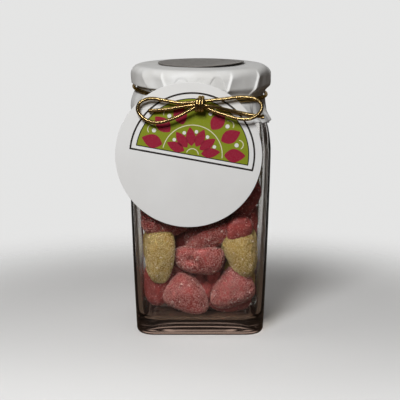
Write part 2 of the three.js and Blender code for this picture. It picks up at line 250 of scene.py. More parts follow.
def flat_cut(outlines: Sequence[Sequence[Flat]], low: float, high: float, edge: float = 0.0) -> Shell:
    """Cuts a flat shape from a sheet, with holes where an outline lies in another.

    Args:
        outlines: Closed outlines in the sheet's plane.
        low: Height of its back above the plane.
        high: Height of its front.
        edge: Radius of its rounded edges.

    Returns:
        Its skin.
    """
    curve = bpy.data.curves.new("cut", "CURVE")
    curve.dimensions, curve.fill_mode = "2D", "BOTH"
    curve.extrude = (high - low) / 2 - edge
    curve.bevel_depth, curve.bevel_resolution = edge, 2
    for outline in outlines:
        spline = curve.splines.new("POLY")
        spline.points.add(len(outline) - 1)
        spline.use_cyclic_u = True
        spline.points.foreach_set("co", [v for x, y in outline for v in (x, y, 0.0, 1.0)])
    holder = bpy.data.objects.new("cut", curve)
    mesh = bpy.data.meshes.new_from_object(holder)
    work = bmesh.new()
    work.from_mesh(mesh)
    bmesh.ops.remove_doubles(work, verts=work.verts, dist=1e-4)
    bmesh.ops.recalc_face_normals(work, faces=work.faces)
    points = [(v.co.x, v.co.y, v.co.z + (low + high) / 2) for v in work.verts]
    faces = [tuple(v.index for v in face.verts) for face in work.faces]
    work.free()
    bpy.data.objects.remove(holder)
    bpy.data.curves.remove(curve)
    bpy.data.meshes.remove(mesh)
    return points, faces


def arc(centre: Flat, radius: float, start: float, end: float, steps: int) -> list[Flat]:
    """Points round a part of a circle, from one angle to another."""
    turns = [start + (end - start) * i / steps for i in range(steps + 1)]
    return [(centre[0] + radius * math.cos(t), centre[1] + radius * math.sin(t)) for t in turns]


def circle(radius: float, count: int, centre: Flat = (0.0, 0.0)) -> list[Flat]:
    """Points round a whole circle."""
    return arc(centre, radius, 0.0, FULL_TURN, count)[:-1]


# ---------------------------------------------------------------- finishes


class Shading:
    """A node tree under construction, in which nodes are added and wired by name."""

    def __init__(self, tree: bpy.types.NodeTree) -> None:
        """Takes up a tree with its usual first nodes."""
        self.tree = tree

    def feed(self, target: Socket, value: Socket | float | Sequence[float]) -> None:
        """Wires a socket, or sets it.

        Args:
            target: The socket.
            value: What it is wired to, or its number, colour or vector.
        """
        if isinstance(value, Socket):
            self.tree.links.new(value, target)
        elif isinstance(value, tuple):
            target.default_value = (*value, 1.0)[: len(target.default_value)]
        else:
            target.default_value = value

    def node(self, kind: str, feeds: dict | None = None, **settings: str) -> bpy.types.Node:
        """Adds a node.

        Args:
            kind: Its kind, without the usual first word.
            feeds: What goes into its sockets, by their names or numbers.
            settings: Its own settings.

        Returns:
            The node.
        """
        made = self.tree.nodes.new(f"ShaderNode{kind}")
        for key, value in settings.items():
            setattr(made, key, value)
        for key, value in (feeds or {}).items():
            self.feed(made.inputs[key], value)
        return made

    def ramp(
        self,
        source: Socket,
        low: float,
        high: float,
        floor: float = 0.0,
        top: float = 1.0,
        kind: str = "LINEAR",
    ) -> Socket:
        """A value spread from low and high to floor and top, and held at the ends."""
        feeds = {"Value": source, "From Min": low, "From Max": high, "To Min": floor, "To Max": top}
        return self.node("MapRange", feeds, interpolation_type=kind).outputs["Result"]

    def math(self, operation: str, first: Socket | float, second: Socket | float = 0.0) -> Socket:
        """Sum, product or the like of two values."""
        return self.node("Math", {0: first, 1: second}, operation=operation).outputs[0]

    def mixed(self, share: Socket, first: Socket | Colour, second: Socket | Colour) -> Socket:
        """A second colour over a first by a share."""
        return self.node("Mix", {0: share, 6: first, 7: second}, data_type="RGBA").outputs[2]

    def choice(self, share: Socket, first: Socket, second: Socket) -> Socket:
        """A second shader instead of a first by a share."""
        return self.node("MixShader", {"Fac": share, 1: first, 2: second}).outputs[0]

    def parts(self, source: Socket) -> bpy.types.bpy_prop_collection:
        """A vector's three parts."""
        return self.node("SeparateXYZ", {0: source}).outputs


class Surface(Shading):
    """A material under construction."""

    def __init__(self, name: str) -> None:
        """Starts a material with one Principled shader.

        Args:
            name: The material's name.
        """
        self.material = bpy.data.materials.new(name)
        self.material.use_nodes = True
        super().__init__(self.material.node_tree)
        self.shader = self.tree.nodes["Principled BSDF"]
        place = self.node("TexCoord").outputs["Object"]
        self.place = self.node("VectorMath", {0: place, "Scale": 1 / MM}, operation="SCALE").outputs[0]

    def set(self, **values: Socket | float | Colour) -> None:
        """Feeds the shader's own sockets, with _ for each space in a name."""
        for key, value in values.items():
            self.feed(self.shader.inputs[key.replace("_", " ")], value)

    def show(self, **outputs: Socket) -> None:
        """Feeds the material's output."""
        for key, value in outputs.items():
            self.feed(self.tree.nodes["Material Output"].inputs[key], value)

    def noise(
        self, size: float, detail: float = 2.0, roughness: float = 0.5, distortion: float = 0.0
    ) -> Socket:
        """Cloudy noise with features of a size in millimetres."""
        feeds = {"Detail": detail, "Roughness": roughness, "Distortion": distortion}
        return self.node("TexNoise", {"Vector": self.place, "Scale": 1 / size, **feeds}).outputs["Fac"]

    def cells(self, size: float, output: str = "Distance") -> Socket:
        """Cells of a size in millimetres."""
        return self.node("TexVoronoi", {"Vector": self.place, "Scale": 1 / size}).outputs[output]

    def along(self) -> bpy.types.bpy_prop_collection:
        """A piece's own (u, v)."""
        return self.parts(self.node("UVMap", uv_map="along").outputs[0])

    def bump(self, height: Socket, depth: float, strength: float = 1.0) -> None:
        """Adds relief on top of any relief added before.

        Args:
            height: The relief's height, from 0 to 1.
            depth: Its depth in millimetres.
            strength: Its share.
        """
        feeds = {"Distance": depth * MM, "Strength": strength, "Height": height}
        before = self.shader.inputs["Normal"].links
        if before:
            feeds["Normal"] = before[0].from_socket
        self.set(Normal=self.node("Bump", feeds).outputs["Normal"])


@dataclass(frozen=True)
class ClearGlass:
    """Clear pressed glass with soft waves in its faces; a brown absorption in its depth is painted shade on its
    thick edges and on the sweets seen through it.
    """

    through: Colour = (0.97, 0.98, 0.975)
    shadow: Colour = (0.86, 0.87, 0.865)
    # painted shade: brown absorption that darkens the thick glass and the sweets seen through it
    painted_shade_absorption: Colour = (0.55, 0.37, 0.27)
    depth_density: float = 34.0  # per metre
    wave_size: float = 16.0
    wave_depth: float = 0.10

    def make(self) -> bpy.types.Material:
        """Builds the material.

        Returns:
            Glass that lets lamps through to what is behind it.
        """
        made = Surface("clear_glass")
        made.set(Transmission_Weight=1.0, IOR=1.5, Roughness=0.015, Base_Color=self.through)
        made.bump(made.noise(self.wave_size, detail=1.0), self.wave_depth)
        made.bump(made.noise(3.0), 0.004)
        shadow = made.node("LightPath").outputs["Is Shadow Ray"]
        open_way = made.node("BsdfTransparent", {"Color": self.shadow}).outputs[0]
        # the absorption inside is painted shade
        inside = made.node("VolumeAbsorption", {"Color": self.painted_shade_absorption, "Density": self.depth_density})
        made.show(Surface=made.choice(shadow, made.shader.outputs[0], open_way), Volume=inside.outputs[0])
        return made.material


@dataclass(frozen=True)
class CoverPaper:
    """White tissue-weight paper with a faint fibre, soft handling marks and a painted highlight along its
    folds.
    """

    pale: Colour = (0.78, 0.78, 0.77)
    shade: Colour = (0.715, 0.71, 0.69)
    # painted highlight along the folds and the gathers' arches
    fold_highlight: Colour = (0.95, 0.95, 0.94)

    def make(self) -> bpy.types.Material:
        """Builds the material.

        Returns:
            Matt paper with fine relief.
        """
        made = Surface("cover_paper")
        cloud = made.ramp(made.noise(9.0, detail=3.0), 0.35, 0.65)
        fibre = made.noise(0.5, detail=3.0, distortion=1.5)
        tone = made.mixed(cloud, self.pale, self.shade)
        flecked = made.mixed(made.ramp(fibre, 0.62, 0.8, 0.0, 0.18), tone, self.shade)
        # painted highlight: the paper is painted paler along its folds, by the share in the first part of its
        # uv
        made.set(
            Base_Color=made.mixed(made.along()[0], flecked, self.fold_highlight),
            Roughness=made.ramp(cloud, 0.0, 1.0, 0.68, 0.8),
            Specular_IOR_Level=0.35,
        )
        made.bump(made.noise(2.6, detail=3.0), 0.10, 0.5)
        made.bump(fibre, 0.02, 0.6)
        return made.material


@dataclass(frozen=True)
class CoatedSheet:
    """Card, ink, label paper or tin: one colour with clouds of another and a fine tooth.

    Attributes:
        name: The material's name.
        main: Its colour.
        marks: The colour of its clouds.
        clouds: Size and detail of the clouds, and the noise where they start and are full.
        gloss: Size and detail of the gloss's noise, and the least and the most roughness.
        tooth: Size, detail, depth and strength of each relief.
        fixed: The shader's sockets that are the same all over.
    """

    name: str
    main: Colour
    marks: Colour
    clouds: tuple[float, ...]
    gloss: tuple[float, ...]
    tooth: tuple[tuple[float, ...], ...]
    fixed: dict[str, float] = field(default_factory=dict)

    def make(self) -> bpy.types.Material:
        """Builds the material.

        Returns:
            The coated surface.
        """
        made = Surface(self.name)
        size, detail, *span = self.clouds
        tone = made.mixed(made.ramp(made.noise(size, detail), *span), self.main, self.marks)
        size, detail, *span = self.gloss
        made.set(Base_Color=tone, Roughness=made.ramp(made.noise(size, detail), 0.3, 0.7, *span), **self.fixed)
        for size, detail, depth, strength in self.tooth:
            made.bump(made.noise(size, detail), depth, strength)
        return made.material


def ink(name: str, colour: Colour, mottle: float = 0.03) -> CoatedSheet:
    """A flat printed colour with slight mottling where the card shows through."""
    worn = tuple(c + (0.8 - c) * mottle for c in colour)
    return CoatedSheet(
        f"{name}_ink",
        main=colour,
        marks=worn,
        clouds=(0.6, 3.0, 0.4, 0.75),
        gloss=(2.0, 2.0, 0.42, 0.55),
        tooth=((0.35, 3.0, 0.01, 0.5),),
        fixed={"Specular_IOR_Level": 0.4},
    )


SMOOTH_CARD = CoatedSheet(
    "tag_card",
    main=(0.83, 0.835, 0.83),
    marks=(0.79, 0.79, 0.78),
    clouds=(22.0, 3.0, 0.3, 0.7),
    gloss=(1.2, 2.0, 0.5, 0.62),
    tooth=((0.35, 3.0, 0.012, 0.6), (14.0, 2.0, 0.08, 0.4)),
    fixed={"Specular_IOR_Level": 0.4},
)
DARK_LABEL = CoatedSheet(
    "dark_label",
    main=(0.17, 0.152, 0.135),
    marks=(0.22, 0.2, 0.18),
    clouds=(5.0, 4.0, 0.45, 0.75),
    gloss=(1.5, 3.0, 0.34, 0.46),
    tooth=((0.4, 3.0, 0.01, 0.5),),
)
LACQUERED_TIN = CoatedSheet(
    "lacquered_tin",
    main=(0.55, 0.53, 0.50),
    marks=(0.35, 0.33, 0.31),
    clouds=(3.0, 5.0, 0.5, 0.75),
    gloss=(1.0, 3.0, 0.28, 0.45),
    tooth=((0.8, 3.0, 0.01, 0.4),),
    fixed={"Metallic": 0.85},
)


@dataclass(frozen=True)
class GoldCord:
    """Metallic gold foil wound round an elastic cord, in fine slanting turns."""

    bright: Colour = (0.54, 0.39, 0.17)
    # painted shade in the grooves, and random rubbed patches
    dark: Colour = (0.06, 0.035, 0.012)
    turn_pitch: float = 0.55  # along the cord from one turn of foil to the next

    def make(self) -> bpy.types.Material:
        """Builds the material.

        Returns:
            Gold with painted shade in the grooves between its turns.
        """
        made = Surface("gold_cord")
        u, v, _ = made.along()
        slant = made.math("ADD", made.math("DIVIDE", u, self.turn_pitch), v)
        height = made.ramp(made.math("SINE", made.math("MULTIPLY", slant, FULL_TURN)), -1.0, 1.0)
        # painted shade: the colour goes dark in the grooves between the foil's turns
        valley = made.ramp(height, 0.0, 0.45, 0.9, 0.0)
        rub = made.ramp(made.noise(1.6), 0.35, 0.7, 0.0, 0.35)
        made.set(
            Base_Color=made.mixed(made.math("MAXIMUM", valley, rub), self.bright, self.dark),
            Roughness=made.ramp(made.noise(0.8), 0.3, 0.7, 0.13, 0.27),
            Metallic=1.0,
            Specular_Tint=self.bright,
        )
        made.bump(height, 0.05, 0.8)
        return made.material


@dataclass(frozen=True)
class SugaredJelly:
    """Soft fruit jelly under a crust of fine sugar, which speckles it pale."""

    name: str
    jelly: Colour
    deep: Colour
    sugar: Colour
    rim: Colour
    crust: float = 0.38  # how much of the surface the sugar hides

    def make(self) -> bpy.types.Material:
        """Builds the material.

        Returns:
            Jelly that glows a little, with a speckled crust.
        """
        made = Surface(self.name)
        body = made.mixed(made.ramp(made.noise(5.0), 0.35, 0.65), self.jelly, self.deep)
        fine = made.ramp(made.cells(0.42, "Color"), 0.45, 0.95)
        coarse = made.ramp(made.cells(0.95, "Color"), 0.62, 1.0)
        speck = made.math("MINIMUM", made.math("ADD", fine, coarse), 1.0)
        patch = made.ramp(made.noise(2.4, 3.0, 0.6), 0.36, 0.64, self.crust * 0.5, self.crust * 1.5)
        made.set(
            Base_Color=made.mixed(made.math("MULTIPLY", speck, patch), body, self.sugar),
            Roughness=made.ramp(speck, 0.0, 1.0, 0.48, 0.7),
            Subsurface_Weight=0.35,
            Subsurface_Scale=0.004,
            Subsurface_Radius=(1.0, 0.35, 0.22),
            Sheen_Weight=0.03,
            Sheen_Roughness=0.45,
            Sheen_Tint=self.rim,
            Specular_IOR_Level=0.35,
        )
        made.bump(made.cells(0.5), 0.14, 0.9)
        made.bump(made.noise(2.0), 0.25, 0.3)
        return made.material


@dataclass(frozen=True)
class SugarGrain:
    """Sugar crystals tinted by the sweet under them; one in several stays white."""

    name: str
    tinted: Colour
    white: Colour = (0.74, 0.60, 0.54)

    def make(self) -> bpy.types.Material:
        """Builds the material.

        Returns:
            Bright, slightly clear crystal.
        """
        made = Surface(self.name)
        white_ones = made.ramp(made.cells(0.9, "Color"), 0.8, 0.9)
        tone = made.ramp(made.noise(1.5), 0.3, 0.7, 0.0, 0.6)
        body = made.mixed(tone, self.tinted, tuple(0.7 * c for c in self.tinted))
        gloss = made.ramp(made.noise(0.7), 0.3, 0.7, 0.22, 0.5)
        made.set(Base_Color=made.mixed(white_ones, body, self.white), Roughness=gloss, Transmission_Weight=0.15)
        return made.material


# ---------------------------------------------------------------- jar


@dataclass(frozen=True)
class JarShape:
    """The jar's outline, worked out from its driving sizes."""

    base_half: float = 31.0
    top_half: float = 34.1
    widening: float = 1.04  # the upper sides stand nearly upright
    swell: float = 0.1
    corner: float = 8.0
    inner_corner: float = 5.5  # the glass is thicker at the upright edges
    heel_height: float = 3.4
    heel_inset: float = 3.2
    shoulder_start: float = 92.0
    shoulder_end: float = 108.0
    neck_radius: float = 29.4
    mouth_height: float = 128.2
    wall: float = 2.6
    floor: float = 7.0

    def shoulder_turn(self, height: float) -> float:
        """How far round the shoulder's quarter curve a height is, in radians."""
        return math.asin(held((height - self.shoulder_start) / (self.shoulder_end - self.shoulder_start)))

    def shoulder_heights(self, turns: np.ndarray) -> list[float]:
        """Heights at shares of the shoulder's quarter curve."""
        rise = self.shoulder_end - self.shoulder_start
        return [self.shoulder_start + rise * math.sin(QUARTER_TURN * t) for t in turns]

    def half(self, height: float) -> float:
        """Finds the half width across the flats, outside.

        Args:
            height: Height above the table.

        Returns:
            The half width.
        """
        if height >= self.shoulder_end:
            return self.neck_radius
        if height > self.shoulder_start:
            return self.neck_radius + (self.top_half - self.neck_radius) * math.cos(self.shoulder_turn(height))
        rise = max(0.0, (height - self.heel_height) / (self.shoulder_start - self.heel_height))
        spread = min(1.0, self.widening * rise + self.swell * math.sin(math.pi * rise))
        return self.base_half + (self.top_half - self.base_half) * spread

    def corner_at(self, height: float) -> float:
        """Radius of the upright edges, which grows to the neck's over the shoulder."""
        return self.corner + (self.neck_radius - self.corner) * self.shoulder_turn(height) / QUARTER_TURN

    @staticmethod
    def reach(angle: float, half: float, corner: float) -> float:
        """Finds the edge of a square with round corners.

        Args:
            angle: Direction from the axis.
            half: Half of the square's width.
            corner: Radius of its corners.

        Returns:
            Distance from the axis to the edge.
        """
        turned = angle % QUARTER_TURN
        away = min(turned, QUARTER_TURN - turned)
        flat = half - corner
        if math.tan(away) * half <= flat:
            return half / math.cos(away)
        along = flat * (math.cos(away) + math.sin(away))
        return along + math.sqrt(max(0.0, along * along - 2 * flat * flat + corner * corner))

    def outer_reach(self, angle: float, height: float) -> float:
        """Distance from the axis to the outside of the glass."""
        return self.reach(angle, self.half(height), self.corner_at(height))


@dataclass
class GlassJar:
    """The jar itself: thick walls, a heavy foot and an unthreaded mouth."""

    shape: JarShape
    per_quarter: int = 44
    bunching: float = 0.42  # how much closer its points are at the corners
    floor_corner: float = 5.0
    foot_ring: float = 3.0  # width of the rim that the jar stands on
    hollow: float = 1.2  # how far the underside rises inside that rim
    foot_wave: float = 0.10  # unevenness of the underside
    foot_rings: int = 80
    floor_dome: float = 0.8  # how far the inner floor rises in its middle
    lip: float = 0.7
    ripple: float = 0.22  # unevenness of the inner wall

    def ring(self, half: float, corner: float, height: float, ripple: float = 0.0) -> list[Point]:
        """Draws one outline of the jar.

        Args:
            half: Half of its width.
            corner: Radius of its corners.
            height: Its height.
            ripple: Its unevenness.

        Returns:
            Its points, closer together at the corners.
        """
        found = []
        for i in range(4 * self.per_quarter):
            side, share = divmod(i, self.per_quarter)
            share /= self.per_quarter
            angle = QUARTER_TURN * (side + share + self.bunching * math.sin(FULL_TURN * share) / FULL_TURN)
            wave = math.sin(3 * angle + 0.05 * height) + 0.6 * math.sin(7 * angle - 0.09 * height + 1.0)
            reach = self.shape.reach(angle, half, corner) + ripple * wave * 0.6
            found.append((reach * math.cos(angle), reach * math.sin(angle), height))
        return found

    def outer_rings(self) -> list[list[Point]]:
        """Draws the outside.

        Returns:
            Its outlines from the underside to the mouth's lip.
        """
        shape = self.shape
        foot = shape.base_half - shape.heel_inset
        corner = shape.corner - 0.6 * shape.heel_inset
        rings = []
        for share in np.linspace(0.0125, 1.0, self.foot_rings):
            half = (foot - self.foot_ring) * share
            ring = self.ring(half, (corner - self.foot_ring) * share, self.hollow * (1 - share**4))
            deep = self.foot_wave * min(1.0, 6 * (1 - share))
            waves = [2 + math.sin(0.55 * y) + math.sin(0.31 * y + 1.2) for _, y, _ in ring]
            rings.append([(x, y, z + deep * wave) for (x, y, z), wave in zip(ring, waves)])
        for turn in np.linspace(0.0, QUARTER_TURN, 7):
            inset = shape.heel_inset * (1 - math.sin(turn))
            height = shape.heel_height * (1 - math.cos(turn))
            rings.append(self.ring(shape.base_half - inset, shape.corner - 0.6 * inset, height))
        heights = [*np.linspace(8, 88, 11), 90.0, 91.2, *shape.shoulder_heights(np.linspace(0.0, 1.0, 15))]
        heights += [110.0, 114.0, 120.0, shape.mouth_height - 0.8]
        rings += [self.ring(shape.half(h), shape.corner_at(h), h) for h in heights]
        lip = shape.neck_radius - self.lip
        return rings + [self.ring(lip, lip, shape.mouth_height)]

    def inner_rings(self) -> list[list[Point]]:
        """Draws the inside.

        Returns:
            Its outlines from the mouth's lip down to the floor.
        """
        shape = self.shape
        neck = shape.neck_radius - shape.wall
        rings = [self.ring(neck + self.lip, neck + self.lip, shape.mouth_height)]
        rings.append(self.ring(neck, neck, shape.mouth_height - 0.8))
        heights = [120.0, 110.0, *shape.shoulder_heights(np.linspace(1.0, 0.0, 13))]
        heights += list(np.linspace(88, shape.floor + self.floor_corner + 2, 12))
        for height in heights:
            half = shape.half(height) - shape.wall
            share = shape.shoulder_turn(height) / QUARTER_TURN
            corner = shape.inner_corner + (half - shape.inner_corner) * share
            rings.append(self.ring(half, corner, height, self.ripple * (1 - share)))
        half = shape.half(shape.floor) - shape.wall
        for turn in np.linspace(0.0, QUARTER_TURN, 7):
            inset = self.floor_corner * (1 - math.cos(turn))
            height = shape.floor + self.floor_corner * (1 - math.sin(turn))
            rings.append(self.ring(half - inset, shape.inner_corner - 0.5 * inset, height))
        for share in (0.6, 0.3):
            height = shape.floor + self.floor_dome * (1 - share)
            reach = (half - self.floor_corner) * share
            rings.append(self.ring(reach, shape.inner_corner * share * 0.7, height))
        return rings

    def build(self) -> Piece:
        """Makes the glass.

        Returns:
            The jar's glass as one closed skin.
        """
        ends = ((0.0, 0.0, self.hollow + 0.3), (0.0, 0.0, self.shape.floor + self.floor_dome))
        rings = self.outer_rings() + self.inner_rings()
        return new_piece("jar_glass", loft(rings, ends), ClearGlass().make(), ["glass_jar"])


# ---------------------------------------------------------------- sweets


class Flavour(Enum):
    """The two colours of sweet in the jar."""

    PINK = "pink"
    YELLOW = "yellow"


P, Y = Flavour.PINK, Flavour.YELLOW
JELLY = {
    P: SugaredJelly(
        "pink_jelly", (0.24, 0.024, 0.022), (0.15, 0.013, 0.012), (0.47, 0.165, 0.145), (1.0, 0.5, 0.45)
    ),
    Y: SugaredJelly(
        "yellow_jelly", (0.30, 0.19, 0.036), (0.21, 0.125, 0.02), (0.50, 0.38, 0.17), (1.0, 0.85, 0.55)
    ),
}
SUGAR = {P: SugarGrain("pink_sugar", (0.41, 0.155, 0.135)), Y: SugarGrain("yellow_sugar", (0.50, 0.37, 0.16))}


@dataclass(frozen=True)
class SweetPlace:
    """Where one sweet lies against the glass.

    Attributes:
        flavour: Its colour.
        face: The jar's face that it lies against, in degrees from the front.
        across: Distance from the middle of that face.
        height: Height of its middle.
        turn: Degrees from its narrow end straight down.
        roll: Degrees about its long axis.
        back: Distance between it and the glass.
        size: Its share of the usual length, width and thickness.
        pits: Dimples, each as its place along the sweet from -1 to 1, degrees round it and depth.
        taper: How much slimmer its narrow end is.
    """

    flavour: Flavour
    face: float
    across: float
    height: float
    turn: float
    roll: float
    back: float = 0.0
    size: Point = (1.0, 1.0, 1.0)
    pits: tuple[Point, ...] = ()
    taper: float = 0.245


FRONT_SWEETS = [
    SweetPlace(P, 0, -5.8, 17.6, -50, 6, 0.0, (0.97, 1.0, 0.95), ((0.1, 250, 0.4),), 0.33),
    SweetPlace(P, 0, 15.4, 20.4, 50, -10, 2.0, (0.96, 0.97, 0.95), ((0.1, 282, 0.9),), 0.31),
    SweetPlace(P, 0, -22.0, 23, 12, 35, 6.5),
    SweetPlace(Y, 0, -18.3, 38.6, 1, -58, 0.0, (1.15, 0.86, 0.90), ((-0.74, 328, 2.4),), 0.34),
    SweetPlace(P, 0, -0.3, 38.9, 92, 82, 0.0, (1.02, 1.0, 0.98), ((-0.33, 196, 2.6), (0.3, 182, 0.5))),
    SweetPlace(Y, 0, 20.4, 40.4, -16, -8, 0.0, (1.06, 0.94, 0.95), ((-0.35, 300, 0.5),), 0.30),
    SweetPlace(P, 0, 16.8, 52.4, 10, 90, 0.0, (0.60, 0.66, 0.9)),
    SweetPlace(P, 0, 3.8, 50.4, 53, 25, 1.5, (1.05, 0.95, 1.0), ((-0.4, 280, 0.7),)),
    SweetPlace(P, 0, -16.5, 57.0, -80, 15, 2.0, (1.04, 1.0, 1.0)),
    SweetPlace(P, 0, 14.5, 11.6, 80, 60, 7.0),
    SweetPlace(P, 0, 22.5, 66.0, 25, -30, 1.0),
    SweetPlace(Y, 0, 1.5, 68.0, -40, 10, 1.0),
    SweetPlace(P, 0, -20.0, 75.0, 65, 20, 1.0),
    SweetPlace(P, 0, 0.5, 87.0, 100, -10, 1.0),
    SweetPlace(Y, 0, 20.5, 84.5, -20, 30, 1.0),
]


@dataclass
class Crystals:
    """Coarse sugar: small eight-sided crystals half sunk into a sweet."""

    random: np.random.Generator
    size: float = 0.25

    def scatter(self, sweet: Shell, face_angle: float, count: int) -> Shell:
        """Strews crystals on the part of a sweet that faces the glass.

        Args:
            sweet: The sweet's skin.
            face_angle: The direction of the jar's face that it lies against, in radians.
            count: Number of crystals.

        Returns:
            The crystals' skins.
        """
        points, faces = sweet
        towards = np.array([math.sin(face_angle), -math.cos(face_angle), 0.0])
        quads = np.array([face for face in faces if len(face) == 4])
        a, b, c, d = (points[quads[:, i]] for i in range(4))
        normal = np.cross(c - a, d - b)
        area = np.linalg.norm(normal, axis=1)
        normal /= np.maximum(area, 1e-9)[:, None]
        weight = np.where(normal @ towards > -0.25, area, 0.0)
        chosen = self.random.choice(len(quads), count, p=weight / weight.sum())
        u, v = self.random.random((2, count, 1))
        low, high = a[chosen] * (1 - u) + b[chosen] * u, d[chosen] * (1 - u) + c[chosen] * u
        places = low * (1 - v) + high * v
        corner = np.array([(1, 0, 0), (0, 1, 0), (-1, 0, 0), (0, -1, 0), (0, 0, 1), (0, 0, -1)], float)
        sides = np.array([(i, (i + 1) % 4, 4) for i in range(4)] + [((i + 1) % 4, i, 5) for i in range(4)])
        sizes = self.size * self.random.uniform(0.5, 1.4, (count, 1, 1)) ** 1.8
        turns = np.linalg.qr(self.random.normal(size=(count, 3, 3)))[0]
        turns *= np.sign(np.linalg.det(turns))[:, None, None]
        shapes = corner[None] * self.random.uniform(0.8, 1.15, (count, 1, 3)) * sizes
        places += normal[chosen] * sizes[:, 0] * 0.15
        found = np.einsum("nij,nkj->nik", shapes, turns) + places[:, None]
        made = sides[None] + 6 * np.arange(count)[:, None, None]
        return found.reshape(-1, 3), made.reshape(-1, 3)


@dataclass
class Sweets:
    """The jar's filling: sugared pear drops packed against the glass and behind each other."""

    shape: JarShape
    length: float = 24.0
    width: float = 19.5
    dome: float = 9.8
    base: float = 4.3
    blunt: float = 2.55  # how full its ends are
    broad: float = 1.175  # share of the width at its broad end
    rim: float = 0.45  # how far the edge of its flat side stands out
    pit_size: float = 1.6
    pit_reach: float = 8.0  # usual distance of a pit from the sweet's middle
    glass_gap: float = 0.4
    fill_height: float = 95.0
    row_height: float = 16.0
    first_row: float = 17.5
    rows: int = 5
    column_step: float = 18.5
    many_crystals: int = 3200
    few_crystals: int = 300
    seed: int = 20457

    def __post_init__(self) -> None:
        """Starts the repeatable draws."""
        self._drawn = self.seed
        self._random = np.random.default_rng(7)

    def draw(self) -> float:
        """A repeatable draw between -1 and 1."""
        self._drawn = self._drawn * 16807 % 2147483647
        return 2 * self._drawn / 2147483647 - 1

    def hidden(self, number: int, face: float, column: float, height: float) -> SweetPlace:
        """Lays one of the sweets that the photograph doesn't show.

        Args:
            number: Its number.
            face: The jar's face that it lies against, in degrees from the front.
            column: Its column, from the middle of that face.
            height: Its row's height.

        Returns:
            Its place.
        """
        across, up = column * self.column_step + 1.2 * self.draw(), height + 1.8 * self.draw()
        turn, roll = 90 * self.draw(), 28 * self.draw()
        size = tuple(1 + 0.07 * self._random.uniform(-1, 1, 3))
        pits = ((self._random.uniform(-0.6, 0.6), self._random.uniform(200, 340), 0.7),)
        return SweetPlace(Y if number % 5 in (1, 3) else P, face, across, up, turn, roll, 0.0, size, pits)

    def places(self) -> list[SweetPlace]:
        """Lays the sweets along the jar's four faces.

        Returns:
            Places of all sweets that lie against the glass.
        """
        found = list(FRONT_SWEETS)
        for i in range(self.rows):
            height = self.first_row + self.row_height * i
            raised = height + self.row_height / 3
            pair, single = (-0.45, 0.45), (0,)
            right, left = (single, pair) if i % 2 else (pair, single)
            for face, up, columns in ((180, height, (-1, 0, 1)), (90, raised, right), (270, raised, left)):
                for column in columns:
                    found.append(self.hidden(len(found), face, column, up))
        return found

    def drop(
        self, across_steps: int, along_steps: int, pits: Sequence[Point] = (), taper: float = 0.245
    ) -> Shell:
        """Makes one sweet about its middle: narrow end down, domed side towards -Y.

        Args:
            across_steps: Points round it.
            along_steps: Steps from its narrow end to its broad end.
            pits: Its dimples.
            taper: How much slimmer its narrow end is.

        Returns:
            Its skin.
        """
        bend, skew, wave = self._random.uniform(-1, 1, 3)
        phase = self._random.uniform(0, FULL_TURN, 3)
        rings = []
        for i in range(along_steps + 1):
            along = -math.cos(math.pi * min(max(i / along_steps, 1e-4), 1 - 1e-4))
            full = (1 - abs(along) ** self.blunt) ** (1 / self.blunt)
            ring = []
            for k in range(across_steps):
                turn = FULL_TURN * k / across_steps
                c, s = math.cos(turn), math.sin(turn)
                power, height = (0.88, self.dome) if s < 0 else (0.62, self.base)
                reach = self.width / 2 * (self.broad - taper + taper * along)
                reach += self.rim * math.exp(-((s / 0.16) ** 2))
                across = math.copysign(abs(c) ** power, c) * reach * full
                out = math.copysign(abs(s) ** power, s) * height * full * (1.0 + 0.08 * along)
                lump = 1 + 0.018 * math.sin(3 * turn + 2 * along + phase[0])
                lump += 0.014 * math.sin(5 * along + 2 * turn + phase[1])
                up = along * self.length / 2
                for place, round_turn, depth in pits:
                    away = (turn - math.radians(round_turn) + math.pi) % FULL_TURN - math.pi
                    apart = math.hypot(up - place * self.length / 2, away * self.pit_reach) / self.pit_size
                    lump -= depth / self.pit_reach * math.exp(-apart * apart)
                across += 0.35 * skew * (1 - along * along) * s
                out += 0.7 * bend * (along * along - 0.4) * full
                ring.append((across * lump, out * lump, up * (1 + 0.01 * wave * math.sin(turn + phase[2]))))
            rings.append(ring)
        points, faces = loft(rings, (tuple(np.mean(rings[0], axis=0)), tuple(np.mean(rings[-1], axis=0))))
        return np.array(points), faces

    def fit_inside(self, points: np.ndarray) -> np.ndarray:
        """Moves a sweet inwards or up until all of it is inside the glass.

        Args:
            points: The sweet's points.

        Returns:
            Its points there.
        """
        shape = self.shape
        for _ in range(4):
            worst, move = 0.0, np.zeros(3)
            for x, y, z in points[::7]:
                height = min(z, self.fill_height)
                angle = math.atan2(y, x)
                half = shape.half(height) - shape.wall - self.glass_gap
                corner = max(shape.corner_at(height) - shape.wall, shape.inner_corner)
                over = math.hypot(x, y) - shape.reach(angle, half, min(corner, half))
                if over > worst:
                    worst, move = over, np.array([-math.cos(angle) * over, -math.sin(angle) * over, 0.0])
            move[2] = max(0.0, shape.floor + self.glass_gap - points[:, 2].min())
            points = points + move
        return points

    def laid(self, place: SweetPlace) -> Shell:
        """Makes one sweet in its place against the glass.

        Args:
            place: The place.

        Returns:
            Its skin.
        """
        steps = (76, 50) if place.face == 0 and place.height < 72 else (36, 24)
        points, faces = self.drop(*steps, place.pits, place.taper)
        length, width, thick = place.size
        turn, roll, face = (math.radians(v) for v in (place.turn, place.roll, place.face))
        turned = Matrix.Rotation(turn, 3, "Y") @ Matrix.Rotation(roll, 3, "Z")
        points = points * np.array([width, thick, length]) @ np.array(turned).T
        wall = self.shape.half(place.height) - self.shape.wall - self.glass_gap
        points = points + np.array([place.across, place.back - wall - points[:, 1].min(), place.height])
        faced = np.array(Matrix.Rotation(face, 3, "Z"))
        return self.fit_inside(points @ faced.T), faces

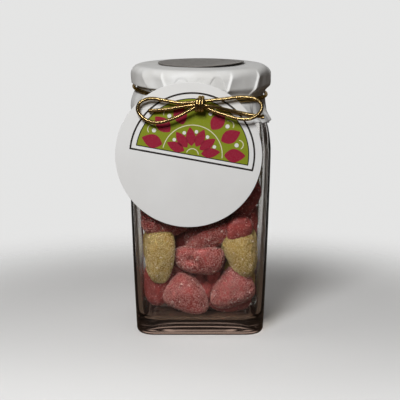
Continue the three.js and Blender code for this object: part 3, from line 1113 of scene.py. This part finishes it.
    def inner_sweets(self) -> list[tuple[Flavour, Shell]]:
        """Lays the sweets behind the outer ones, in loose layers.

        Returns:
            Each one's flavour and skin.
        """
        found = []
        columns = [(x, y) for x in (-10.5, 0.0, 10.5) for y in (-8.0, 2.0, 12.0)]
        for x, y, z in ((x, y, 15.5 + 14.5 * layer) for layer in range(6) for x, y in columns):
            shift = self._random.uniform(-2.0, 2.0, 3)
            turn = Matrix.Rotation(self._random.uniform(0, FULL_TURN), 3, "X")
            turn @= Matrix.Rotation(self._random.uniform(0, FULL_TURN), 3, "Z")
            flavour = Y if self._random.random() < 0.3 and y > 5 else P
            points, faces = self.drop(24, 16)
            points = points * 0.95 @ np.array(turn).T + (np.array([x, y, z]) + shift)
            found.append((flavour, (self.fit_inside(points), faces)))
        return found

    def build(self) -> list[Piece]:
        """Makes the sweets of each flavour and the sugar on them.

        Returns:
            The pieces.
        """
        heaps: dict[Flavour, list[Shell]] = {P: [], Y: []}
        sugar: dict[Flavour, list[Shell]] = {P: [], Y: []}
        crystals = Crystals(self._random)
        for place in self.places():
            sweet = self.laid(place)
            heaps[place.flavour].append(sweet)
            seen = place.face == 0 and place.height < 60 and place.back < 3 and place.size[0] > 0.7
            count = self.many_crystals if seen else self.few_crystals
            sugar[place.flavour].append(crystals.scatter(sweet, math.radians(place.face), count))
        for flavour, sweet in self.inner_sweets():
            heaps[flavour].append(sweet)
        pieces = []
        for kind in Flavour:
            heap, jelly = joined(heaps[kind]), JELLY[kind].make()
            pieces.append(new_piece(f"sweets_{kind.value}", heap, jelly, ["sweets"]))
            grains, crystal = joined(sugar[kind]), SUGAR[kind].make()
            pieces.append(new_piece(f"sugar_on_{kind.value}", grains, crystal, smooth=False))
        return pieces


# ---------------------------------------------------------------- paper cover


@dataclass(frozen=True)
class Gather:
    """One scallop where the paper is drawn in towards the cord.

    Attributes:
        start: The turn of its left edge.
        end: The turn of its right edge.
        top: Height of the top of its arch.
        depth: How far the paper dips inside it.
    """

    start: float
    end: float
    top: float
    depth: float = 0.6
    fall: float = 6.5  # how much lower the arch's feet are
    fullness: float = 2.6
    edge: float = 0.8  # height over which the dip starts

    def off_arch(self, turn: float, height: float) -> float | None:
        """Finds how far under its arch a place is.

        Args:
            turn: The place's turn.
            height: Its height.

        Returns:
            The distance, or None beside the arch.
        """
        share = (turn - self.start) / (self.end - self.start)
        arch = self.top - self.fall * abs(2 * share - 1) ** self.fullness
        return arch - height if 0 < share < 1 else None

    def dip(self, turn: float, height: float) -> float:
        """How far the paper is drawn in at a place."""
        under = held((self.off_arch(turn, height) or 0.0) / self.edge)
        return self.depth * under * under * (3 - 2 * under)


@dataclass(frozen=True)
class Fold:
    """One pressed fold of the paper over the lid's side.

    Attributes:
        turn: Its place at half height.
        step: How far the paper steps out there, from left to right; negative steps in.
        slant: Degrees it moves to the right from the lid's top to the cord.
        width: Degrees over which the step eases.
        edge: Degrees that the step itself takes.
    """

    turn: float
    step: float
    slant: float = 0.0
    width: float = 13.0
    edge: float = 0.8
    middle: float = 124.0  # half height
    drop: float = 7.0  # from the lid's top to the cord

    def place(self, height: float) -> float:
        """Its turn at a height."""
        return self.turn + self.slant * (self.middle - height) / self.drop

    def out(self, turn: float, height: float) -> float:
        """Finds how far the paper stands out beside it.

        Args:
            turn: The place's turn.
            height: Its height.

        Returns:
            The distance.
        """
        away = math.copysign(1.0, self.step) * beyond(turn, self.place(height))
        if away < 0:
            return abs(self.step) * max(0.0, 1 + away / self.edge)
        return abs(self.step) * max(0.0, 1 - away / self.width) ** 1.5


@dataclass
class PaperCover:
    """White paper drawn over the lid, gathered under the cord and spread over the shoulder."""

    shape: JarShape
    top: float = 130.0
    radius: float = 34.4
    least_reach: float = 33.62  # the paper lies on the lid here
    bead: float = 4.6
    drum_bottom: float = 121.0
    gather_radius: float = 31.9
    groove: float = 1.7  # half height of the cord's groove
    groove_line: tuple[Flat, ...] = ((31.4, 1.1), (31.0, 0.5), (31.0, -0.5), (31.4, -1.1), (31.8, -1.7))
    hem_height: float = 103.4
    clearance: float = 0.9
    flare: float = 1.2
    cord_height: float = 117.4
    drop_right: float = 2.0
    drop_front: float = 1.3
    thickness: float = 0.3
    columns: int = 720
    seed: int = 11
    front_folds: tuple[Fold, ...] = (
        Fold(-84.0, 0.4),
        Fold(-50.8, 1.0, 8.5),
        Fold(-30.0, -0.95, 4.7),
        Fold(24.4, 0.95, -3.6),
        Fold(52.5, 0.9, -5.0),
        Fold(84.0, 0.4),
    )
    front_gathers: tuple[Gather, ...] = (
        Gather(-22.5, -7.5, 127.3),
        Gather(-5.8, 5.0, 127.0),
        Gather(6.6, 21.0, 127.6, 0.65),
    )
    flap: Flat = (-49.0, 2.1)  # the turned-up fold left of the tag: its turn and height

    def __post_init__(self) -> None:
        """Draws the folds that the photograph doesn't show."""
        random = np.random.default_rng(self.seed)
        self.folds, self.gathers = list(self.front_folds), list(self.front_gathers)
        turn, sign = 92.0, -1
        while turn < 262.0:
            self.folds.append(Fold(turn, sign * random.uniform(0.5, 1.0), random.uniform(-4.0, 4.0)))
            width = random.uniform(12.0, 24.0)
            if width > 15:
                middle = turn + width / 2
                self.gathers.append(Gather(middle - 5.5, middle + 5.5, random.uniform(124.0, 127.3), 0.4))
            turn, sign = turn + width, -sign
        self.folds.sort(key=lambda fold: fold.turn)
        self.flute_edges = [0.0]
        while self.flute_edges[-1] < 346.0:
            self.flute_edges.append(self.flute_edges[-1] + random.uniform(10.0, 21.0))
        self.flute_edges[-1] = 360.0
        self.flute_heights = random.uniform(0.6, 1.0, len(self.flute_edges))

    def cord_at(self, angle: float) -> float:
        """Height of the cord's middle round the neck."""
        return self.cord_height - self.drop_right * math.cos(angle) + self.drop_front * math.sin(angle)

    def facet(self, turn: float, height: float) -> float:
        """Finds how far a flat panel between two folds lies inside the round.

        Args:
            turn: The place's turn.
            height: Its height.

        Returns:
            The distance.
        """
        places = [fold.place(height) for fold in self.folds]
        places = [places[-1] - 360.0, *places, places[0] + 360.0]
        turn = (turn - places[1]) % 360.0 + places[1]
        for low, high in zip(places, places[1:]):
            if low <= turn < high:
                half = math.radians(min(high - low, 26.0)) / 2
                off = math.radians(abs(turn - (low + high) / 2))
                return max(0.0, self.radius * (1 - math.cos(half) / math.cos(off)))
        return 0.0

    def pressed(self, turn: float, height: float) -> float:
        """Finds how strongly the paper is painted paler along its folds and the gathers' arches, a painted
        highlight.

        Args:
            turn: The place's turn.
            height: Its height.

        Returns:
            A share from 0 to 1.
        """
        lines = [abs(beyond(turn, fold.place(height))) / 0.75 for fold in self.folds]
        arches = [gather.off_arch(beyond(turn, 0.0), height) for gather in self.gathers]
        lines += [1.1 + abs(off) / 0.5 for off in arches if off is not None]
        return 0.55 * held((self.top - 0.8 - height) / 1.5) * math.exp(-min(lines) ** 2)

    def flute(self, turn: float) -> float:
        """Finds the skirt's folds.

        Args:
            turn: The place's turn.

        Returns:
            A share from 0 in a valley to 1 on a ridge.
        """
        turn %= 360.0
        for number, (low, high) in enumerate(zip(self.flute_edges, self.flute_edges[1:])):
            if low <= turn < high:
                share = (turn - low) / (high - low)
                peak = 0.22 if number % 3 else 0.72
                rise = share / peak if share < peak else (1 - share) / (1 - peak)
                return float(self.flute_heights[number]) * rise**0.9
        return 0.0

    def turned_up(self, turn: float, drop: float) -> float:
        """Finds how far the turned-up fold stands out.

        Args:
            turn: The place's turn.
            drop: Its share of the way to the hem.

        Returns:
            The distance.
        """
        place, height = self.flap
        away = beyond(turn, place + 5.0 * drop)
        across = 1 + away / 13.0 if away < 0 else 1 - away / 1.6
        return height * max(0.0, across) * math.sin(math.pi * min(1.0, drop * 1.25 + 0.12)) ** 0.7

    def hem_at(self, angle: float, flute: float) -> float:
        """Height of the paper's lower edge."""
        wave = 1.3 * math.sin(5 * angle + 2.1) * math.sin(2 * angle + 0.4)
        return self.hem_height + wave + 0.9 * (flute - 0.5)

    def skirt_reach(self, angle: float, height: float, drop: float) -> float:
        """Lays the paper under the cord over the glass shoulder.

        Args:
            angle: The place's angle.
            height: Its height.
            drop: Its share of the way to the hem.

        Returns:
            Distance from the axis to the paper's outside.
        """
        glass = self.shape.outer_reach(angle, height) + self.clearance
        flare = self.flare * max(0.0, -math.cos(angle)) ** 2 * math.sin(math.pi * min(1.0, drop * 1.2))
        return max(glass, self.gather_radius + 1.2 * drop) + flare

    def profile(self, angle: float, flute: float) -> list[Flat]:
        """Draws the paper's outside before its folds.

        Args:
            angle: The angle that it is cut at.
            flute: The skirt's fold there, from 0 to 1.

        Returns:
            Distances from the axis and heights.
        """
        cord = self.cord_at(angle)
        edge, side, low = self.radius - self.bead, self.top - self.bead, cord + self.groove
        line = [(edge * share, self.top) for share in (0.2, 0.4, 0.6, 0.75, 0.85, 0.93)]
        for turn in np.linspace(0.0, QUARTER_TURN, 13):
            line.append((edge + self.bead * math.sin(turn), side + self.bead * math.cos(turn)))
        bottom = max(self.drum_bottom, low + 0.5)
        line += [(self.radius, side + (bottom - side) * share) for share in np.linspace(0.1, 1.0, 10)]
        for share in np.linspace(0.15, 1.0, 8):
            reach = self.radius + (self.gather_radius - self.radius) * (1 - math.cos(math.pi * share)) / 2
            line.append((reach, bottom + (low - bottom) * share))
        line += [(reach, cord + up) for reach, up in self.groove_line]
        start, hem = cord - self.groove, self.hem_at(angle, flute)
        for i in range(1, 19):
            height = start + (hem - start) * i / 18
            line.append((self.skirt_reach(angle, height, i / 18), height))
        return line

    def over_lid(self, turn: float, reach: float, height: float, cord: float) -> float:
        """Adds the folds and gathers over the lid's side.

        Args:
            turn: The place's turn.
            reach: The paper's plain distance from the axis.
            height: The place's height.
            cord: The cord's height under it.

        Returns:
            The paper's distance from the axis.
        """
        draw_in = held((height - cord - self.groove) / 3.0)
        fold = sum(fold.out(turn, height) for fold in self.folds)
        slim = max(0.0, -math.sin(math.radians(turn))) ** 3 * (0.6 + 0.8 * held((127.0 - height) / 6.0))
        dips = sum(gather.dip(beyond(turn, 0.0), height) for gather in self.gathers)
        inward = self.facet(turn, height) * 0.8 * draw_in + dips + slim
        most = self.radius - self.least_reach
        over = held((self.top - 0.6 - height) / 3.2)
        return reach + over * ((0.3 + 0.7 * draw_in) * fold - most * math.tanh(inward / most))

    def folded(self, angle: float) -> list[Flat]:
        """Draws the paper's outside with all its folds.

        Args:
            angle: The angle that it is cut at.

        Returns:
            Distances from the axis and heights.
        """
        turn = math.degrees(angle) + 90.0
        flute, cord = self.flute(turn), self.cord_at(angle)
        fold = 0.35 * sum(fold.out(turn, self.drum_bottom) for fold in self.folds)
        right_front = max(0.0, math.cos(math.radians(turn - 55.0))) ** 2
        found = []
        for reach, height in self.profile(angle, flute):
            if height > cord + self.groove:
                reach = self.over_lid(turn, reach, height, cord) if reach > 25 else reach
            elif height > cord - self.groove:
                reach += fold
            else:
                drop = min(1.0, (cord - self.groove - height) / 9.0)
                reach += fold * (1 - drop) + (0.25 + (1.2 + 0.7 * right_front) * drop) * flute
                reach += self.turned_up(turn, drop) - 0.35 * drop
            found.append((reach, height))
        return found

    def build(self) -> Piece:
        """Makes the cover.

        Returns:
            The folded paper.
        """
        angles = [FULL_TURN * i / self.columns for i in range(self.columns)]
        columns = [self.folded(angle) for angle in angles]
        rings = []
        for station in range(len(columns[0])):
            ring = []
            for angle, column in zip(angles, columns):
                reach, height = column[station]
                sag = 0.1 * math.sin(3 * angle + 1.0) * min(1.0, reach / 20) if station < 6 else 0.0
                ring.append((reach * math.cos(angle), reach * math.sin(angle), height + sag))
            rings.append(ring)
        points, faces = loft(rings[::-1], ((0.0, 0.0, self.top), (0.0, 0.0, self.top)))
        faces = [face for face in faces if len(points) - 2 not in face]
        # painted highlight along the folds, passed to the paper's finish in the first part of its uv
        fold_highlight_mask = [
            self.pressed(math.degrees(math.atan2(y, x)) + 90.0, z)
            if z > self.cord_height + 1.0 and math.hypot(x, y) > 25
            else 0.0
            for x, y, z in points
        ]
        uv = np.array([(fold_highlight_mask[corner], 0.0) for face in faces for corner in face])
        paper = CoverPaper().make()
        piece = new_piece("folded_cover", (points, faces), paper, ["paper_cover"], uv=uv)
        thick = piece.modifiers.new("thickness", "SOLIDIFY")
        thick.thickness, thick.offset = self.thickness * MM, -1
        return piece


# ---------------------------------------------------------------- label on top


@dataclass
class TopLabel:
    """The dark round label, one edge of which has come up."""

    radius: float = 21.3
    thickness: float = 0.25
    centre: Point = (0.5, 3.5, 130.35)
    lift: float = 0.9
    lift_turn: float = 28.0  # degrees from +X towards the front
    shares: tuple[float, ...] = (0.2, 0.4, 0.6, 0.75, 0.88, 0.97, 1.0)
    count: int = 128

    def ring(self, share: float, up: float) -> list[Point]:
        """Draws one of its circles.

        Args:
            share: The circle's share of the label's radius.
            up: Height above the label's underside.

        Returns:
            The circle's points, raised where the label has come up.
        """
        x, y, z = self.centre
        found = []
        for i in range(self.count):
            angle = FULL_TURN * i / self.count
            towards = share * math.cos(angle + math.radians(self.lift_turn))
            rise = self.lift * max(0.0, towards - 0.35) ** 1.5 / 0.65**1.5
            reach = share * self.radius
            found.append((x + reach * math.cos(angle), y + reach * math.sin(angle), z + up + rise))
        return found

    def build(self) -> Piece:
        """Makes the label.

        Returns:
            The label.
        """
        rings = [self.ring(share, 0.0) for share in self.shares]
        rings.append(self.ring(1.003, self.thickness / 2))
        rings += [self.ring(share, self.thickness) for share in reversed(self.shares)]
        x, y, z = self.centre
        shell = loft(rings, ((x, y, z), (x, y, z + self.thickness)))
        return new_piece("label_on_top", shell, DARK_LABEL.make(), ["top_label"])


# ---------------------------------------------------------------- tag


@dataclass
class Tag:
    """The round card tag and its print: a framed fan of leaves in a half round."""

    radius: float = 34.9
    thickness: float = 0.6
    centre: Point = (-5.4, -35.2, 90.1)
    tilt: float = 10.4
    lean: float = 1.6
    hole: Flat = (0.7, 26.0)
    hole_radius: float = 2.0
    panel_centre: Flat = (1.6, 0.65)
    panel_radius: float = 26.7
    frame_gap: float = 2.5
    frame_foot: float = 2.75  # from the panel's flat side to the frame's lower edge
    frame_width: float = 0.85
    line_width: float = 0.45
    curve_width: float = 0.42
    layer: float = 0.03  # thickness of one layer of print

    def placed(self, shell: Shell) -> Shell:
        """Moves a skin from the tag's own plane (right, up, towards the viewer) to the frame.

        Args:
            shell: The skin.

        Returns:
            The skin in its place.
        """
        lean, tilt = math.radians(self.lean), math.radians(self.tilt)
        spin = Matrix.Rotation(lean, 4, "X") @ Matrix.Rotation(tilt, 4, "Y")
        stand = Matrix(((1, 0, 0, 0), (0, 0, -1, 0), (0, 1, 0, 0), (0, 0, 0, 1)))
        matrix = Matrix.Translation(Vector(self.centre)) @ spin @ stand
        points, faces = shell
        return [tuple(matrix @ Vector(point)) for point in points], faces

    def half_round(self, radius: float, sink: float = 0.0) -> list[Flat]:
        """A half disc's outline over the panel's middle, its flat side lower by sink."""
        start = -math.asin(min(1.0, sink / radius))
        return arc(self.panel_centre, radius, start, math.pi - start, 72)

    def line_round(self, radius: float, sink: float, width: float) -> list[list[Flat]]:
        """A line round the half disc, as its outer and its inner edge."""
        return [self.half_round(radius, sink), self.half_round(radius - width, sink - width)]

    def from_panel(self, reach: float, turn: float) -> Flat:
        """A point at a distance from the panel's middle, turned from straight up."""
        x, y = self.panel_centre
        return (x + reach * math.sin(math.radians(turn)), y + reach * math.cos(math.radians(turn)))

    def leaf(self, reach: float, turn: float, length: float, width: float) -> list[Flat]:
        """Draws a pointed leaf that points away from the panel's middle.

        Args:
            reach: Distance from that middle to its root.
            turn: Degrees from straight up towards the right.
            length: Its length.
            width: Half of its width, about.

        Returns:
            Its outline.
        """
        steps = [i / 14 for i in range(15)]
        side = [(width * math.sin(math.pi * s) ** 0.8 * (1.1 - 0.35 * s), length * s) for s in steps]
        outline = side + [(-x, y) for x, y in reversed(side[1:-1])]
        c, s = math.cos(math.radians(turn)), math.sin(math.radians(turn))
        x0, y0 = self.from_panel(reach, turn)
        return [(x0 + x * c + y * s, y0 - x * s + y * c) for x, y in outline]

    def curve(self, centre: Flat, radius: float, gap: float, turn: float = 0.0) -> list[Flat]:
        """A thin half circle, short of it by a gap at both ends and turned to the right."""
        start, end, half = gap - math.radians(turn), math.pi - gap - math.radians(turn), self.curve_width / 2
        return arc(centre, radius + half, start, end, 24) + arc(centre, radius - half, start, end, 24)[::-1]

    def print_layers(self) -> dict[str, tuple[CoatedSheet, list[list[list[Flat]]]]]:
        """Designs the print.

        Returns:
            Each colour's ink and shapes, from the card up; a shape is a list of outlines.
        """
        outer = self.panel_radius + self.frame_gap + self.frame_width
        lines = [self.line_round(outer, self.frame_foot, self.frame_width)]
        lines.append(self.line_round(self.panel_radius + self.line_width, self.line_width, self.line_width))
        ground = [self.half_round(self.panel_radius), circle(self.hole_radius + 0.15, 40, self.hole)]
        leaves = [self.leaf(4.2, turn, 9.2, 2.5) for turn in (-74, -45, -15, 15, 45, 74)]
        leaves += [self.leaf(15.2, turn, 10.2, 3.5) for turn in (-81, -54, -27, 0, 27, 54, 81)]
        between = (-67.5, -40.5, -13.5, 13.5, 40.5, 67.5)
        curves = [self.curve(self.from_panel(22.6, turn), 2.2, 0.3, turn) for turn in between]
        curves += [self.curve(self.panel_centre, 14.3, 0.06), self.curve(self.panel_centre, 2.9, 0.2)]
        dots = [circle(1.0, 20, self.from_panel(21.6, turn)) for turn in between]
        dots += [circle(0.85, 20, self.from_panel(11.2, turn)) for turn in (-60, -30, 0, 30, 60)]
        layers = {
            "dark_lines": (ink("brown_black", (0.012, 0.007, 0.005), 0.015), lines),
            "green_ground": (ink("leaf_green", (0.235, 0.28, 0.004)), [ground]),
        }
        for name, colour, outlines in (
            ("crimson_leaves", ink("crimson", (0.31, 0.004, 0.03)), leaves),
            ("cream_curves", ink("cream", (0.74, 0.70, 0.50)), curves),
            ("white_dots", ink("white", (0.78, 0.78, 0.76), 0.02), dots),
        ):
            clear = self.hole_radius + 0.5
            kept = [[line] for line in outlines if all(math.dist(point, self.hole) > clear for point in line)]
            layers[name] = (colour, kept)
        return layers

    def build(self) -> list[Piece]:
        """Makes the card and its print.

        Returns:
            The pieces.
        """
        outlines = [circle(self.radius, 180), circle(self.hole_radius, 40, self.hole)]
        card = self.placed(flat_cut(outlines, 0.0, self.thickness, 0.1))
        pieces = [new_piece("tag_card", card, SMOOTH_CARD.make(), ["tag"], smooth=False)]
        for number, (name, (colour, shapes)) in enumerate(self.print_layers().items()):
            top = self.thickness + self.layer * max(1, number)
            shell = self.placed(joined([flat_cut(shape, self.thickness - 0.01, top) for shape in shapes]))
            pieces.append(new_piece(f"print_{name}", shell, colour.make(), smooth=False))
        return pieces


# ---------------------------------------------------------------- gold cord


@dataclass
class GoldBow:
    """The cord round the neck, the knot in front of the tag, and the bow with its loose ends."""

    cover: PaperCover
    cord: float = 1.7
    neck_reach: float = 32.6
    knot_centre: Point = (0.0, -40.4, 115.3)
    knot_reach: float = 2.85
    knot_turns: float = 2.6
    end_knot: float = 0.36
    route: tuple[Point, ...] = (
        *((-24.4, -38.4, 111.7), (-14, -39.2, 112.9), (-6, -39.8, 114.3), (0, -39.4, 114.7)),
        *((5.5, -40.4, 112.3), (12, -41, 110.2), (19, -41.4, 108.3), (24.4, -41.2, 108.6)),
        *((28.2, -40.6, 111.2), (29.2, -40, 114.4), (27, -39.7, 117.2), (20.5, -39.7, 118.5)),
        *((11.5, -40, 117.6), (0, -40.4, 116.45), (-9, -40.3, 115.7), (-17, -40.2, 117)),
        *((-23.8, -40, 117.8), (-28.2, -39.8, 115.9), (-29.5, -39.7, 113), (-28.2, -39.9, 110)),
        *((-24.5, -40.3, 107.3), (-19.5, -40.7, 106.5), (-11.6, -41.1, 108.9), (-4.5, -41.4, 112.5)),
        *((0, -41.4, 114.6), (5.5, -40.8, 114.2), (12, -39.2, 112.5), (20, -37.9, 110.6)),
        (29.6, -37.7, 108.8),
    )

    def __post_init__(self) -> None:
        """Makes the gold that all its pieces share."""
        self.gold = GoldCord().make()

    def stretch(
        self,
        name: str,
        lines: Sequence[np.ndarray],
        replaces: Sequence[str] = (),
        radius: float = 0.85,
        sides: int = 14,
        closed: bool = False,
    ) -> Piece:
        """A piece of cord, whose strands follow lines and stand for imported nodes."""
        shells, uvs = zip(*(tube(line, radius, sides, closed) for line in lines))
        return new_piece(name, joined(shells), self.gold, replaces, uv=np.concatenate(uvs))

    def neck_line(self) -> np.ndarray:
        """The turn that holds the paper to the neck."""
        around = circle(self.neck_reach, 220)
        return np.array([(x, y, self.cover.cord_at(math.atan2(y, x))) for x, y in around])

    def strand_line(self, side: int) -> np.ndarray:
        """Draws one of the two strands that come through the tag's hole.

        Args:
            side: -1 for the left one and 1 for the right one.

        Returns:
            The points on it.
        """
        z = self.knot_centre[2]
        points = [(side * 3.2, -31.6, z + 0.4), (side * 1.2, -33.6, z + 0.2), (side * 0.85, -37.0, z)]
        return smooth_line(points, 10)

    def knot_line(self) -> np.ndarray:
        """Winds the knot round the bow's strands.

        Returns:
            The points on its turns.
        """
        x, y, z = self.knot_centre
        line = []
        for share in np.linspace(0.0, 1.0, 131):
            angle = FULL_TURN * self.knot_turns * share + 2.2
            across = (share - 0.5) * 3.3 + 0.5 * math.sin(angle)
            high = (self.knot_reach + 0.25) * math.sin(angle)
            line.append((x + across, y + self.knot_reach * math.cos(angle), z + high))
        return np.array(line)

    def end_line(self) -> np.ndarray:
        """Ties the small knot that stops the loose right end.

        Returns:
            The points on its closed line.
        """
        x, y, z = self.route[-1]
        line = []
        for i in range(90):
            t = FULL_TURN * i / 90
            reach = self.end_knot * (2 + math.cos(3 * t)) * 0.8
            line.append((x + 0.5 * math.sin(3 * t), y + reach * math.sin(2 * t), z + reach * math.cos(2 * t)))
        return np.array(line)

    def build(self) -> list[Piece]:
        """Returns:
            The pieces.
        """
        line = smooth_line(self.route, 9)
        bow = self.stretch("gold_bow", [line], ["bow"])
        turns = self.stretch("bow_knot_turns", [self.knot_line()], ["bow_knot"])
        stop = self.stretch("cord_end_knot", [self.end_line()], radius=0.42, sides=10, closed=True)
        neck = self.stretch("cord_round_neck", [self.neck_line()], ["neck_cord"], closed=True)
        strands = [self.strand_line(side) for side in (-1, 1)]
        return [bow, turns, stop, neck, self.stretch("cord_through_tag", strands, radius=0.8)]


# ---------------------------------------------------------------- studio


@dataclass
class Studio:
    """A pale floor, soft light and the camera."""

    camera_distance: float = 850.0
    camera_height: float = 215.0
    camera_pitch: float = 10.2  # degrees down
    focal_pixels: float = 1729.0
    sensor: float = 36.0
    floor_half: float = 0.6  # metres
    floor_colour: Colour = (0.93, 0.928, 0.92)
    floor_unseen: Colour = (0.11, 0.072, 0.05)  # what it throws back at the jar
    floor_fade: Flat = (80.0, 260.0)
    side_colour: Colour = (0.018, 0.014, 0.011)
    back_colour: Colour = (0.95, 0.95, 0.94)
    back_edge: Flat = (0.16, 0.26)  # the bright part behind ends at this height
    strips: tuple[Flat, ...] = ((0.62, 0.655), (0.30, 0.335))  # narrow lights at the sides
    strip_colour: Colour = (0.7, 0.67, 0.62)
    top_colour: Colour = (0.14, 0.137, 0.133)
    below_colour: Colour = (0.06, 0.045, 0.035)
    seen_colour: Colour = (0.78, 0.78, 0.775)

    def camera(self) -> None:
        """Places the camera at the photograph's viewing angle."""
        lens = bpy.data.cameras.new("camera")
        lens.sensor_width = self.sensor
        lens.lens = self.focal_pixels * self.sensor / PHOTO_SIDE
        lens.clip_start, lens.clip_end = 0.01, 100.0
        camera = bpy.data.objects.new("camera", lens)
        camera.location = (0.0, -self.camera_distance * MM, self.camera_height * MM)
        camera.rotation_euler = (math.radians(90 - self.camera_pitch), 0.0, 0.0)
        bpy.context.scene.collection.objects.link(camera)
        bpy.context.scene.camera = camera

    def lamp(self, name: str, place: Point, size: Flat, watts: float) -> None:
        """Adds a soft box that faces the jar.

        Args:
            name: Its name.
            place: Its place in metres.
            size: Its width and height in metres.
            watts: Its power.
        """
        light = bpy.data.lights.new(name, "AREA")
        light.shape = "RECTANGLE"
        light.size, light.size_y = size
        light.energy = watts
        lamp = bpy.data.objects.new(name, light)
        lamp.location = place
        lamp.rotation_euler = (Vector((0.0, 0.0, 0.07)) - Vector(place)).to_track_quat("-Z", "Y").to_euler()
        bpy.context.scene.collection.objects.link(lamp)

    def floor(self) -> None:
        """Lays the pale floor, which fades into the pale surroundings."""
        side, sunk = self.floor_half, -0.00003
        corners = [(-side, -side, sunk), (side, -side, sunk), (side, side, sunk), (-side, side, sunk)]
        mesh = bpy.data.meshes.new("floor")
        mesh.from_pydata(corners, [], [(0, 1, 2, 3)])
        made = Surface("pale_floor")
        tone = made.ramp(made.noise(180.0, detail=3.0), 0.3, 0.7)
        seen = made.mixed(tone, self.floor_colour, tuple(c * 0.985 for c in self.floor_colour))
        by_camera = made.node("LightPath").outputs["Is Camera Ray"]
        colour = made.mixed(by_camera, self.floor_unseen, seen)
        made.set(Base_Color=colour, Roughness=0.6, Specular_IOR_Level=0.25)
        distance = made.node("VectorMath", {0: made.place}, operation="LENGTH").outputs["Value"]
        fade = made.ramp(distance, *self.floor_fade, kind="SMOOTHERSTEP")
        made.show(Surface=made.choice(fade, made.shader.outputs[0], made.node("BsdfTransparent").outputs[0]))
        mesh.materials.append(made.material)
        floor = bpy.data.objects.new("floor", mesh)
        bpy.context.scene.collection.objects.link(floor)

    def world(self) -> None:
        """Sets a studio that is bright behind the jar and above it, and dim at its sides."""
        world = bpy.data.worlds.new("studio")
        world.use_nodes = True
        sky = Shading(world.node_tree)
        _, back, up = sky.parts(sky.node("TexCoord").outputs["Generated"])
        rise = {"kind": "SMOOTHSTEP"}
        around = sky.mixed(sky.ramp(back, 0.88, 0.985, **rise), self.side_colour, self.back_colour)
        for low, high in self.strips:
            edges = [sky.ramp(back, edge, edge + 0.02, **rise) for edge in (low, high)]
            around = sky.mixed(sky.math("SUBTRACT", *edges), around, self.strip_colour)
        around = sky.mixed(sky.ramp(up, *self.back_edge, **rise), around, self.side_colour)
        lit = sky.mixed(sky.ramp(up, 0.35, 0.8, **rise), around, self.top_colour)
        light = world.node_tree.nodes["Background"]
        sky.feed(light.inputs["Color"], sky.mixed(sky.ramp(up, -0.32, -0.2, **rise), self.below_colour, lit))
        plain = sky.node("Background", {"Color": self.seen_colour}).outputs[0]
        by_camera = sky.node("LightPath").outputs["Is Camera Ray"]
        choice = sky.choice(by_camera, light.outputs[0], plain)
        sky.feed(world.node_tree.nodes["World Output"].inputs["Surface"], choice)
        bpy.context.scene.world = world

    def build(self) -> None:
        """Sets up the whole studio."""
        self.camera()
        self.floor()
        self.world()
        self.lamp("key", (-0.12, -0.48, 0.39), (0.15, 0.15), 2.75)
        self.lamp("overhead", (-0.1, 0.1, 1.2), (0.9, 0.6), 1.3)
        bpy.context.scene.view_settings.view_transform = "Standard"


def dress_lid() -> None:
    """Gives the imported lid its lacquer; its shape stays as it is."""
    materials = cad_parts["lid"].data.materials
    materials.clear()
    materials.append(LACQUERED_TIN.make())


def write_sizes() -> None:
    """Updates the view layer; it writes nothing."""
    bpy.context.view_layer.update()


def main() -> None:
    """Builds the jar piece by piece."""
    logging.basicConfig(level=logging.INFO, format="%(name)s: %(message)s")
    Studio().build()
    shape = JarShape()
    cover = PaperCover(shape)
    GoldBow(cover).build()
    GlassJar(shape).build()
    Sweets(shape).build()
    cover.build()
    TopLabel().build()
    Tag().build()
    dress_lid()
    write_sizes()


if __name__ == "__main__":
    main()
